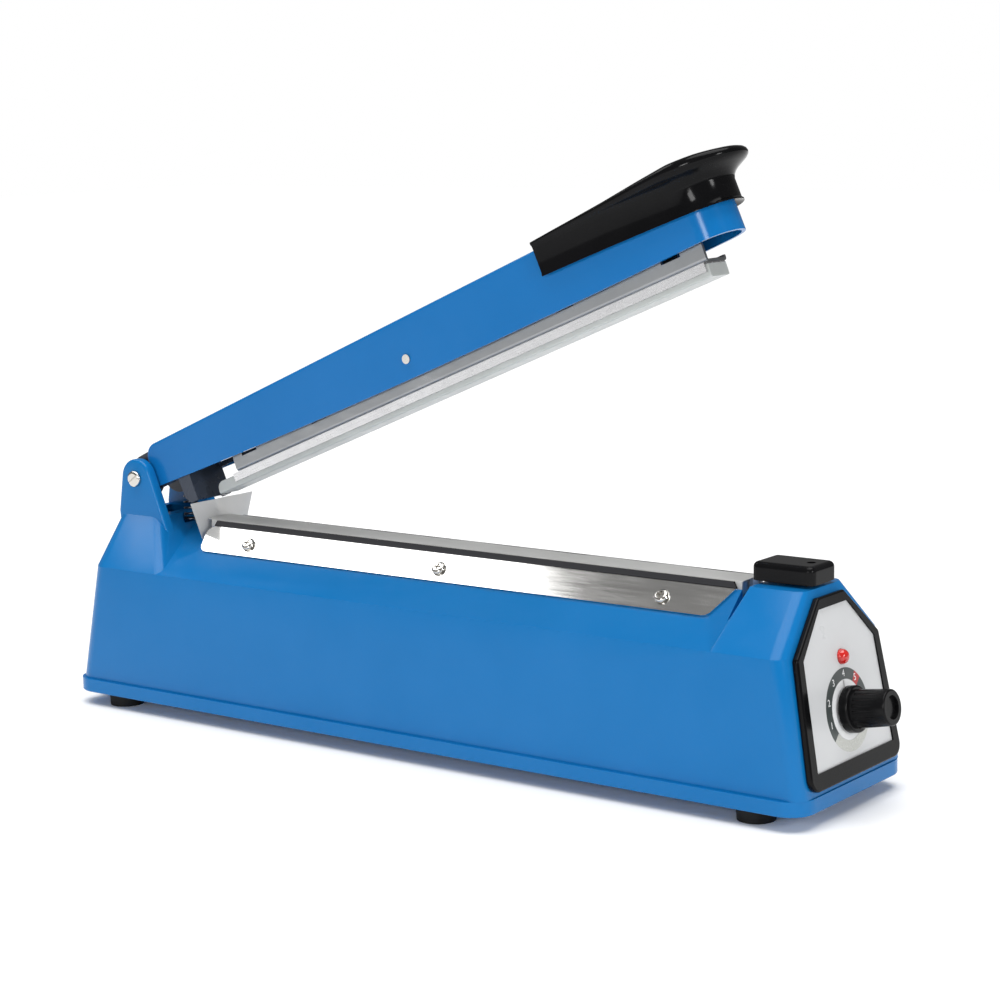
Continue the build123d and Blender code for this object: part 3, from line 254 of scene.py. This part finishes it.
silicone = bpy.data.materials.new("silicone")
tree, shader = nodes_of(silicone)
link(tree, blend_colours(tree, remap(tree, noise(tree, 40, 3), 0, 1), (0.40, 0.42, 0.41), (0.47, 0.49, 0.48)),
     shader.inputs["Base Color"])
link(tree, remap(tree, noise(tree, 300, 3), 0.28, 0.42), shader.inputs["Roughness"])
shader.inputs["Subsurface Weight"].default_value = 0.35
shader.inputs["Subsurface Radius"].default_value = (1.0, 1.0, 1.0)
shader.inputs["Subsurface Scale"].default_value = 0.003
bump(tree, shader, noise(tree, 900, 2, (0.1, 1, 1)), 0.3, 0.00003)

lamp_red = bpy.data.materials.new("lamp_red")
tree, shader = nodes_of(lamp_red)
link(tree, blend_colours(tree, remap(tree, noise(tree, 260, 2), 0, 1), (0.40, 0.006, 0.006), (0.62, 0.02, 0.015)),
     shader.inputs["Base Color"])
shader.inputs["Roughness"].default_value = 0.12
shader.inputs["Subsurface Weight"].default_value = 0.3
shader.inputs["Subsurface Scale"].default_value = 0.002
shader.inputs["Coat Weight"].default_value = 0.6
bump(tree, shader, noise(tree, 700, 2), 0.2, 0.00001)

carried = {
    "bottom_tray": blue_shell, "rubber_feet": foot_rubber, "tray_screws": zinc, "element_bar": bar_metal,
    "insulation_tape": glass_tape, "heating_wire": ribbon, "clamp_plate_near": plate_metal,
    "clamp_plate_far": plate_metal, "clamp_screws": nickel, "control_bezel": black_gloss,
    "control_label": label_face, "indicator_lamp": lamp_red, "potentiometer": dark_mould,
    "potentiometer_nut": nickel, "potentiometer_shaft": bar_metal, "timer_knob": knob_black,
    "switch_cap": black_gloss, "micro_switch": dark_mould, "micro_switch_button": red_mould,
    "cord_grommet": foot_rubber, "wire_terminals": brass, "transformer_core": lamination,
    "transformer_coil": coil_yellow, "transformer_strap": zinc, "timer_board": board_green,
    "board_components": dark_mould, "strap_screws": zinc, "hinge_pin": nickel, "hinge_clip": spring_metal,
    "hinge_bracket": bracket_paint_and_shade, "hinge_sleeve": zinc, "arm_channel": blue_paint, "guide_pin": nickel,
    "handle_screws": zinc, "press_channel": channel_metal, "press_rail": rail_metal,
    "silicone_strip": silicone, "press_rivets": rail_metal, "press_springs": spring_metal,
}
for node, material in carried.items():
    slots = frame["nodes"][node].data.materials
    slots.clear()
    slots.append(material)


# ---- Mesh helpers ----
def piece_from(name, points, faces, material, smooth=True):
    mesh = bpy.data.meshes.new(name)
    mesh.from_pydata([Vector(p) * MM for p in points], [], faces)
    work = bmesh.new()
    work.from_mesh(mesh)
    bmesh.ops.remove_doubles(work, verts=work.verts, dist=1e-6)
    bmesh.ops.recalc_face_normals(work, faces=work.faces)
    work.to_mesh(mesh)
    work.free()
    mesh.materials.append(material)
    if smooth:
        mesh.shade_smooth()
    piece = bpy.data.objects.new(name, mesh)
    bpy.context.scene.collection.objects.link(piece)
    return piece


def stacked(name, rings, material):
    """A closed solid through rings of equal count, capped at both ends."""
    count = len(rings[0])
    points = [p for ring in rings for p in ring]
    faces = [list(range(count))[::-1], [len(points) - count + k for k in range(count)]]
    for r in range(len(rings) - 1):
        for k in range(count):
            a, b = r * count + k, r * count + (k + 1) % count
            faces.append([a, b, b + count, a + count])
    return piece_from(name, points, faces, material, smooth=False)


def settle(piece):
    """Applies the piece's modifiers."""
    graph = bpy.context.evaluated_depsgraph_get()
    done = bpy.data.meshes.new_from_object(piece.evaluated_get(graph))
    piece.modifiers.clear()
    piece.data = done


def join_in(target, other, operation):
    step = target.modifiers.new("boolean", "BOOLEAN")
    step.operation = operation
    step.object = other
    step.solver = "EXACT"
    settle(target)
    bpy.data.objects.remove(other)


def round_edges(piece, width, segments, angle):
    step = piece.modifiers.new("bevel", "BEVEL")
    step.width = width * MM
    step.segments = segments
    step.limit_method = "ANGLE"
    step.angle_limit = radians(angle)
    step.use_clamp_overlap = True
    settle(piece)


def shade(piece, angle=30):
    piece.data.shade_smooth()
    piece.data.set_sharp_from_angle(angle=radians(angle))


def finish_piece(piece, body, slot, *nodes):
    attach(piece, body)
    if nodes:
        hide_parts(*nodes)


def tube(name, start, end, radius, material, count=48):
    """A plain round bar between two points, used as a cutter."""
    axis = (Vector(end) - Vector(start)).normalized()
    side = axis.orthogonal().normalized()
    other = axis.cross(side)
    rings = []
    for centre in (Vector(start), Vector(end)):
        rings.append([centre + (side * cos(2 * pi * k / count) + other * sin(2 * pi * k / count)) * radius
                      for k in range(count)])
    return stacked(name, rings, material)


def block(name, low, high, material):
    ring = [(low[0], low[1]), (high[0], low[1]), (high[0], high[1]), (low[0], high[1])]
    return stacked(name, [[(x, y, z) for x, y in ring] for z in (low[2], high[2])], material)


# ---- Housing ----
# height of the foot band's top, of the walls' kink, and of the tower and front block
foot, kink, top = 10.2, 54.6, 72.8
wall = 2.4
half_at_foot, half_at_kink = 34.0, 32.1
shelf_slope = 0.424
ridge_half, ridge_top_half, ridge_top = 16.3, 6.95, 69.9


def rounded(z, x0, x1, half, rear_round, front_round, steps=7):
    """Rounded rectangle at height z, counter-clockwise from the near rear corner."""
    ring = []
    for cx, cy, r, a0 in ((x0 + rear_round, -half + rear_round, rear_round, 180),
                          (x1 - front_round, -half + front_round, front_round, 270),
                          (x1 - front_round, half - front_round, front_round, 0),
                          (x0 + rear_round, half - rear_round, rear_round, 90)):
        for k in range(steps + 1):
            a = radians(a0 + 90 * k / steps)
            ring.append((cx + r * cos(a), cy + r * sin(a), z))
    return ring


def wall_ends(z, inset):
    """Where the leaning rear and front walls stand at height z, moved inwards by inset."""
    shift = tan(lean) * (z - foot) + inset
    return rear + 0.8 + shift, rear + 325.2 - shift


def housing_solid(name, inset, material):
    """The housing's body and its ridge, as solids; with an inset, they are the space inside the walls."""
    low = foot if inset == 0 else 9.0
    knee = kink - inset * 0.6
    tip = top - inset
    half_low, half_knee = half_at_foot - inset, half_at_kink - inset
    body = stacked(name, [
        rounded(low, *wall_ends(low, inset), half_low, 8 - inset, 5 - inset),
        rounded(knee, *wall_ends(knee, inset), half_knee, 8 - inset, 5 - inset),
    ], material)
    x0, x1 = wall_ends(knee, inset)
    tip_front = wall_ends(tip, inset)[1]
    tower = stacked(name + "_tower", [
        rounded(knee - 4, x0 + 1.5, rear + 46.8 - inset, half_knee - 1.5, 8 - inset, 3.4),
        rounded(knee, x0, rear + 46.8 - inset, half_knee, 8 - inset, 3.4),
        rounded(tip, rear + 8.9 + inset, rear + 30.2 - inset, 15.5 - inset * 0.6, 5 - inset, 3.0),
    ], material)
    front = stacked(name + "_front", [
        rounded(knee - 4, rear + 290.5 + inset, x1 - 1.5, half_knee - 1.5, 0.6, 5 - inset),
        rounded(knee, rear + 290.5 + inset, x1, half_knee, 0.6, 5 - inset),
        rounded(tip, rear + 294.1 + inset, tip_front, 13.1 - inset * 0.6, 0.6, 4 - inset),
    ], material)
    section = [(-half_knee, knee), (-half_knee + 1.2, knee - 5), (half_knee - 1.2, knee - 5),
               (half_knee, knee), (0, knee + shelf_slope * half_knee)]
    shelf = stacked(name + "_shelf", [[(x, y, z) for y, z in section] for x in (rear + 32, rear + 296)],
                    material)
    ridge_foot = kink + shelf_slope * (half_at_kink - ridge_half)
    wide, narrow = ridge_half - inset, ridge_top_half - inset * 0.2
    ridge_section = [(-wide, ridge_foot - 4), (wide, ridge_foot - 4), (wide, ridge_foot - inset),
                     (narrow, ridge_top - inset), (-narrow, ridge_top - inset), (-wide, ridge_foot - inset)]
    ridge = stacked(name + "_ridge", [[(x, y, z) for y, z in ridge_section]
                                      for x in (rear + 51.5 + inset, rear + 287.6 - inset)], material)
    join_in(body, tower, "UNION")
    join_in(body, front, "UNION")
    join_in(body, shelf, "UNION")
    return body, ridge


# the outside is rounded before its inside is cut away, and the ridge keeps its sharp edges
shell, ridge = housing_solid("housing_shell", 0, blue_shell)
round_edges(shell, 1.7, 5, 16)
join_in(shell, ridge, "UNION")
void, void_ridge = housing_solid("void", wall, blue_shell)
join_in(void, void_ridge, "UNION")
join_in(shell, void, "DIFFERENCE")

# the hinge ears, with rounded rims
ear_radius, ear_inner, ear_outer = 7.6, 11.2, 15.5
for side in (-1, 1):
    outline = [(rear + 37.6, 62.0)]
    for k in range(25):
        a = radians(22 + (175 - 22) * k / 24)
        outline.append((pivot.x + ear_radius * cos(a), pivot.z + ear_radius * sin(a)))
    outline += [(rear + 9.4, 74.0), (rear + 10.5, 62.0)]
    ear = stacked("ear", [[(x, side * y, z) for x, z in outline] for y in (ear_inner, ear_outer)], blue_shell)
    round_edges(ear, 1.0, 4, 40)
    join_in(shell, ear, "UNION")

# openings: between the ears, for the element bar, the spring's well, the cap's stem and the cord
spring_x, stem_x, above_all = rear + 34, rear + 303, 90
cord_hole = Vector((rear + 0.8 + tan(lean) * 13.8, 0, 24))
outward = Vector((-cos(lean), 0, sin(lean)))
for cutter in (
    block("cut", (rear + 12.0, -10.7, top - 6), (rear + 24.8, 10.7, top + 4), blue_shell),
    block("cut", (rear + 49, -6.7, 44.6), (rear + 288, 6.7, above_all), blue_shell),
    tube("cut", (spring_x, 0, 69.2), (spring_x, 0, above_all), 3.9, blue_shell),
    tube("cut", (stem_x, 0, 60), (stem_x, 0, above_all), 3.2, blue_shell),
    tube("cut", cord_hole - outward * 6, cord_hole + outward * 3, 5.0, blue_shell),
):
    join_in(shell, cutter, "DIFFERENCE")
shade(shell, 25)
finish_piece(shell, "base", "blue_plastic", "base_housing")

# ---- Handle ----
open_angle = radians(23.75)
arm_u = Vector((cos(open_angle), 0, sin(open_angle)))
arm_v = Vector((-sin(open_angle), 0, cos(open_angle)))
nose = 271.7
grip_start, grip_end = 211.7, nose
grip_half, inner_half = 12.6, 10.7


def on_arm(u, y, v):
    """A point given along the arm, across it, and square to it, from the hinge's axis."""
    return pivot + arm_u * u + arm_v * v + Vector((0, y, 0))


def along(table, u):
    """Straight-line reading of a short table of (u, value) pairs."""
    if u <= table[0][0]:
        return table[0][1]
    for (u0, a), (u1, b) in zip(table, table[1:]):
        if u <= u1:
            return a + (b - a) * (u - u0) / (u1 - u0)
    return table[-1][1]


# heights along the arm: lower rim, crease under the flare, upper rim; and how far the flare stands out
low_line = [(211.7, -2.0), (237, -3.3), (258, -4.6), (273, -5.6), (283, -5.9), (300, -5.9)]
crease_line = [(211.7, 8.2), (241.7, 6.6), (262, 4.0), (272, 2.6), (283, 1.8), (300, 1.6)]
rim_line = [(211.7, 10.3), (221, 10.5), (243.5, 10.8), (261, 11.3), (274, 11.5), (284, 11.1), (293, 10.4),
            (300, 9.8)]
flare_line = [(211.7, 0.5), (232, 1.0), (246, 1.9), (258, 3.0), (271.7, 4.4), (300, 7.0)]
# rows of the outside from the lower rim upward: share of the flare, height, and how it is counted
outside = [("low", 0.0, -1.0), ("low", 0.30, 0.0), ("low", 0.32, 0.5), ("low", 0.0, 1.1), ("mid", 0.0, 0.5),
           ("cove", 0.0, 0.0), ("cove", 0.05, 0.12), ("cove", 0.16, 0.24), ("cove", 0.36, 0.36),
           ("cove", 0.62, 0.46), ("cove", 0.85, 0.55), ("cove", 0.97, 0.64), ("cove", 1.0, 0.73),
           ("cove", 0.97, 0.82), ("cove", 0.88, 0.90), ("cove", 0.74, 0.96), ("cove", 0.55, 1.0)]
straight_steps, nose_steps = 22, 14
walk = [(grip_start + (grip_end - grip_start) * k / straight_steps, None) for k in range(straight_steps + 1)]
walk += [(nose, radians(90 * k / nose_steps)) for k in range(1, nose_steps + 1)]


def contour_point(step, offset, v):
    """A point outside the handle's plan outline by offset, at height v; the step's angle turns the nose."""
    u, turn = step
    if turn is None:
        return on_arm(u, -(grip_half + offset), v)
    front = 13.35 + offset * 1.80
    return on_arm(nose + front * sin(turn), -(grip_half + offset) * cos(turn), v)


def profile(step):
    """The handle's outside and crown at one step, from the lower rim to the middle line."""
    u, turn = step
    reach = u if turn is None else nose + 20 * sin(turn)
    low, crease = along(low_line, reach), along(crease_line, reach)
    rim, flare = along(rim_line, reach), along(flare_line, u if turn is None else nose)
    row = []
    for kind, share, rise in outside:
        if kind == "low":
            row.append(contour_point(step, share, low + max(rise, 0.0) + (0.15 if rise < 0 else 0)))
        elif kind == "mid":
            row.append(contour_point(step, 0.0, low + (crease - low) * rise))
        else:
            row.append(contour_point(step, flare * share, crease + (rim - crease) * rise))
    edge = contour_point(step, flare * 0.55, rim)
    middle = on_arm(min(reach, nose + 1), 0, along(rim_line, min(reach, nose)) - 0.5)
    for share, sink in ((0.93, 0.05), (0.82, 0.35), (0.6, 0.45), (0.3, 0.5), (0.0, 0.5)):
        point = middle.lerp(edge, share)
        row.append(point - arm_v * (sink - 0.5 * (1 - share)))
    return row


def inner_profile(step):
    """The handle's inside, against the arm, from the lower rim to the middle line."""
    u, turn = step
    reach = u if turn is None else nose + 20 * sin(turn)
    low = along(low_line, reach)
    ceiling = 7.1 + (nose - min(u, nose)) * 0.0123 + 0.12
    row = []
    for v in (low + 1.3, ceiling):
        if turn is None:
            row.append(on_arm(u, -inner_half, v))
        else:
            row.append(on_arm(nose + inner_half * sin(turn), -inner_half * cos(turn), v))
    row.append(on_arm(min(u, nose), 0, ceiling))
    return row


rows = [profile(step) for step in walk]
inner_rows = [inner_profile(step) for step in walk]
points, faces = [], []
for side in (1, -1):
    base_index = len(points)
    width = len(rows[0]) + len(inner_rows[0])
    for outer_row, inner_row in zip(rows, inner_rows):
        for p in outer_row + inner_row[::-1]:
            points.append((p.x, p.y * side, p.z))
    outer_count = len(rows[0])
    for i in range(len(walk) - 1):
        for k in range(width):
            if k == outer_count - 1:
                continue
            j = (k + 1) % width
            a, b = base_index + i * width + k, base_index + i * width + j
            faces.append([a, b, b + width, a + width])
    faces.append([base_index + k for k in range(width)])
handle = piece_from("handle_grip", points, faces, black_gloss)
work = bmesh.new()
work.from_mesh(handle.data)
bmesh.ops.dissolve_degenerate(work, dist=1e-6, edges=work.edges)
bmesh.ops.recalc_face_normals(work, faces=work.faces)
work.to_mesh(handle.data)
work.free()
shade(handle, 40)
finish_piece(handle, "arm", "handle_plastic", "arm_handle")

# ---- Cloth over the heating wire, with its end standing up at the rear ----
flap_low, flap_top = 62.9, 79.4
strip_end = rear + 287.4


def cloth_height(s, y):
    """Slight unevenness of the cloth, mostly lengthwise."""
    return 0.05 * sin(s * 0.21 + y * 0.4) + 0.04 * sin(s * 0.083 + 1.7)


points, faces = [], []
sections = 120
across = [(-6.45, 66.0), (-6.45, 68.2), (-6.45, 70.4), (-6.4, 72.0), (-6.05, 72.45), (-4.5, 72.6), (-2.2, 72.68),
          (0.0, 72.7), (2.2, 72.68), (4.5, 72.6), (6.05, 72.45), (6.4, 72.0), (6.45, 70.4), (6.45, 68.2),
          (6.45, 66.0)]
for k in range(sections + 1):
    x = rear + 50.4 + (strip_end - rear - 50.4) * k / sections
    for y, z in across:
        lift = cloth_height(x, y) if z > 72.3 else 0
        points.append((x, y, z + lift))
wide = len(across)
for k in range(sections):
    for j in range(wide - 1):
        a = k * wide + j
        faces.append([a, a + 1, a + 1 + wide, a + wide])
# the part between the strip and the flap, then the flap itself
tongue_start = len(points)
top_across = across[4:11]
for x, drop in ((rear + 49.3, 0.0), (rear + 48.5, 0.05), (rear + 48.1, 0.0)):
    for y, z in top_across:
        points.append((x, y, z + drop))
for j in range(len(top_across) - 1):
    a, b = 4 + j, tongue_start + j
    faces.append([b, b + 1, a + 1, a])
for r in range(2):
    for j in range(len(top_across) - 1):
        b = tongue_start + r * 7 + j
        faces.append([b, b + 7, b + 8, b + 1])
flap_start = len(points)
heights = [62.9, 65.0, 67.4, 69.8, 72.6, 74.3, 76.2, 78.0, 79.4]
columns = 26
for h in heights:
    share = (h - flap_low) / (flap_top - flap_low)
    near_edge, far_edge = -8.6 - 6.4 * share, 13.5 + 6.1 * share
    for j in range(columns + 1):
        y = near_edge + (far_edge - near_edge) * j / columns
        roof = 68.6 - 0.424 * abs(y)
        z = max(h, roof + (h - flap_low) * 0.2) if h < 72 else h
        lean_back = 0.25 * sin(j * 0.5) * (h - 70) / 10 if h > 70 else 0
        points.append((rear + 48.0 - 0.25 - max(-0.2, lean_back) * 0.8, y, z))
for r in range(len(heights) - 1):
    for j in range(columns):
        a = flap_start + r * (columns + 1) + j
        faces.append([a, a + 1, a + columns + 2, a + columns + 1])
cover = piece_from("cloth_cover", points, faces, cloth)
thick = cover.modifiers.new("thickness", "SOLIDIFY")
thick.thickness = 0.22 * MM
thick.offset = 0
settle(cover)
cover.data.materials.append(flap_cloth_painted_light)
# the flap's faces get the paler cloth with its painted light
for polygon in cover.data.polygons:
    if polygon.center.x < (rear + 48.3) * MM:
        polygon.material_index = 1
shade(cover, 40)
finish_piece(cover, "base", "ptfe_cloth", "ptfe_cover")

# ---- Return spring, from the tower up into the arm ----
points, faces = [], []
turns, per_turn, ring = 13.5, 30, 10
coil_radius, wire_radius = 2.9, 0.45
spring_low, spring_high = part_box("return_spring")
z0, z1 = spring_low.z / MM + 0.5, spring_high.z / MM - 0.5
centre = Vector((spring_x, 0, 0))
total_steps = int(turns * per_turn)
for k in range(total_steps + 1):
    t = k / total_steps
    a = 2 * pi * turns * t
    # the end turns lie closer together than the others
    if t <= 0.08:
        rise = t * 0.6
    elif t < 0.92:
        rise = 0.048 + (t - 0.08) * (0.904 / 0.84)
    else:
        rise = 1 - (1 - t) * 0.6
    out = Vector((cos(a), sin(a), 0))
    centre_point = centre + out * coil_radius + Vector((0, 0, z0 + (z1 - z0) * rise))
    for j in range(ring):
        b = 2 * pi * j / ring
        points.append(centre_point + (out * cos(b) + Vector((0, 0, 1)) * sin(b)) * wire_radius)
for k in range(total_steps):
    for j in range(ring):
        a, b = k * ring + j, k * ring + (j + 1) % ring
        faces.append([a, b, b + ring, a + ring])
faces.append(list(range(ring)))
faces.append([total_steps * ring + j for j in range(ring)])
coil = piece_from("return_coil", points, faces, spring_metal)
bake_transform(coil)
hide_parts("return_spring")


# ---- Print on the control label ----
panel_up = Vector((-sin(lean), 0, cos(lean)))
panel_out = Vector((cos(lean), 0, sin(lean)))
label_front = 1.7


def on_panel(y, h, out):
    return dial + panel_out * (label_front + out) + Vector((0, y, 0)) + panel_up * h


def arc_band(name, inner, outer, start, end, material, out=0.04, steps=72):
    """A printed band round the dial, angles counted clockwise from straight up, seen from the front."""
    points, faces = [], []
    for k in range(steps + 1):
        a = radians(start + (end - start) * k / steps)
        for r in (inner, outer):
            for lift in (0.0, out):
                points.append(on_panel(r * sin(a), r * cos(a), lift))
    for k in range(steps):
        n = 4 * k
        faces += [[n, n + 2, n + 6, n + 4], [n + 1, n + 5, n + 7, n + 3],
                  [n, n + 4, n + 5, n + 1], [n + 2, n + 3, n + 7, n + 6]]
    faces += [[0, 1, 3, 2], [4 * steps + k for k in (0, 2, 3, 1)]]
    piece = piece_from(name, points, faces, material)
    shade(piece, 30)
    finish_piece(piece, "base", "label_film")
    return piece


print_dark = plastic("print_dark", (0.05, 0.06, 0.06), 0.4, 1500, 0.00001, 0.1)
print_red = plastic("print_red", (0.45, 0.03, 0.03), 0.4, 1500, 0.00001, 0.1)
print_silver = metal("print_silver", (0.55, 0.56, 0.53), 0.3, (1, 1, 1), 1500, 0.000002)
print_pale = plastic("print_pale", (0.78, 0.79, 0.80), 0.4, 1500, 0.00001, 0.05)
ring_inner, ring_outer = 9.9, 13.6
for name, start, end, material in (
    ("dial_ring", -128, 34, print_dark),
    ("dial_ring_high", 34, 50, print_red),
    ("dial_ring_end", 50, 112, print_dark),
    ("dial_ring_low", 112, 232, print_silver),
):
    arc_band(name, ring_inner, ring_outer, start, end, material)
arc_band("dial_face", 6.5, 9.7, 0, 360, print_pale, 0.03)

first_angle, angle_step, numeral_radius = -105, 36, 11.75
for k in range(6):
    text = bpy.data.curves.new("numeral", "FONT")
    text.body = str(k + 1)
    text.size = 3.2 * MM
    text.align_x = "CENTER"
    text.align_y = "CENTER"
    text.extrude = 0.02 * MM
    numeral = bpy.data.objects.new(f"dial_number_{k + 1}", text)
    bpy.context.scene.collection.objects.link(numeral)
    a = radians(first_angle + angle_step * k)
    spot = on_panel(numeral_radius * sin(a), numeral_radius * cos(a), 0.06) * MM
    axes = Matrix((Vector((0, 1, 0)), panel_up, panel_out)).transposed().to_4x4()
    numeral.matrix_world = Matrix.Translation(spot) @ axes
    bpy.context.view_layer.update()
    graph = bpy.context.evaluated_depsgraph_get()
    mesh = bpy.data.meshes.new_from_object(numeral.evaluated_get(graph))
    mesh.transform(numeral.matrix_world)
    mesh.materials.clear()
    mesh.materials.append(print_pale)
    bpy.data.objects.remove(numeral)
    printed = bpy.data.objects.new(f"dial_number_{k + 1}", mesh)
    bpy.context.scene.collection.objects.link(printed)
    finish_piece(printed, "base", "label_film")

# ---- Floor and light ----
floor_mesh = bpy.data.meshes.new("floor")
floor_mesh.from_pydata([(-4, -4, 0), (4, -4, 0), (4, 4, 0), (-4, 4, 0)], [], [[0, 1, 2, 3]])
floor = bpy.data.objects.new("floor", floor_mesh)
floor.location.z = cad_low.z - 0.00005
bpy.context.scene.collection.objects.link(floor)
floor_material = bpy.data.materials.new("floor")
tree, shader = nodes_of(floor_material)
shader.inputs["Roughness"].default_value = 1.0
shader.inputs["Specular IOR Level"].default_value = 0.0
floor_white = blend_colours(tree, remap(tree, noise(tree, 3, 2), 0, 1), (0.975, 0.975, 0.975),
                            (0.985, 0.985, 0.985))
link(tree, floor_white, shader.inputs["Base Color"])
floor_mesh.materials.append(floor_material)


def softbox(name, place, target, size, power):
    data = bpy.data.lights.new(name, "AREA")
    data.shape = "RECTANGLE"
    data.size, data.size_y = size
    data.energy = power
    lamp = bpy.data.objects.new(name, data)
    direction = Vector(target) - Vector(place)
    turned = direction.to_track_quat("-Z", "Y").to_matrix().to_4x4()
    lamp.matrix_world = Matrix.Translation(Vector(place)) @ turned
    bpy.context.scene.collection.objects.link(lamp)


# a wide, soft light from straight above, and three cards for the plates' and the enamel's highlights
sky = bpy.data.lights.new("sky", "SUN")
sky.energy = 2.7
sky.angle = radians(56)
sky_lamp = bpy.data.objects.new("sky", sky)
bpy.context.scene.collection.objects.link(sky_lamp)

softbox("window", (0.20, -1.42, 0.45), (0.05, 0, 0.10), (0.30, 0.34), 6)
softbox("right_front", (1.35, -0.35, 0.55), (0.1, 0, 0.08), (0.22, 0.40), 6)
softbox("over_rear", (-0.96, -0.16, 1.05), (0, 0, 0.07), (0.50, 0.46), 2.6)

# white behind everything, and a softer white for the light that reaches the object
world = bpy.data.worlds.new("world")
bpy.context.scene.world = world
world.use_nodes = True
world_tree = world.node_tree
seen = world_tree.nodes.new("ShaderNodeLightPath")
strength = world_tree.nodes.new("ShaderNodeMapRange")
strength.inputs["To Min"].default_value = 0.20
strength.inputs["To Max"].default_value = 1.0
link(world_tree, seen.outputs["Is Camera Ray"], strength.inputs["Value"])
link(world_tree, strength.outputs["Result"], world_tree.nodes["Background"].inputs["Strength"])
world_tree.nodes["Background"].inputs["Color"].default_value = (1, 1, 1, 1)
bpy.context.scene.view_settings.view_transform = "Standard"
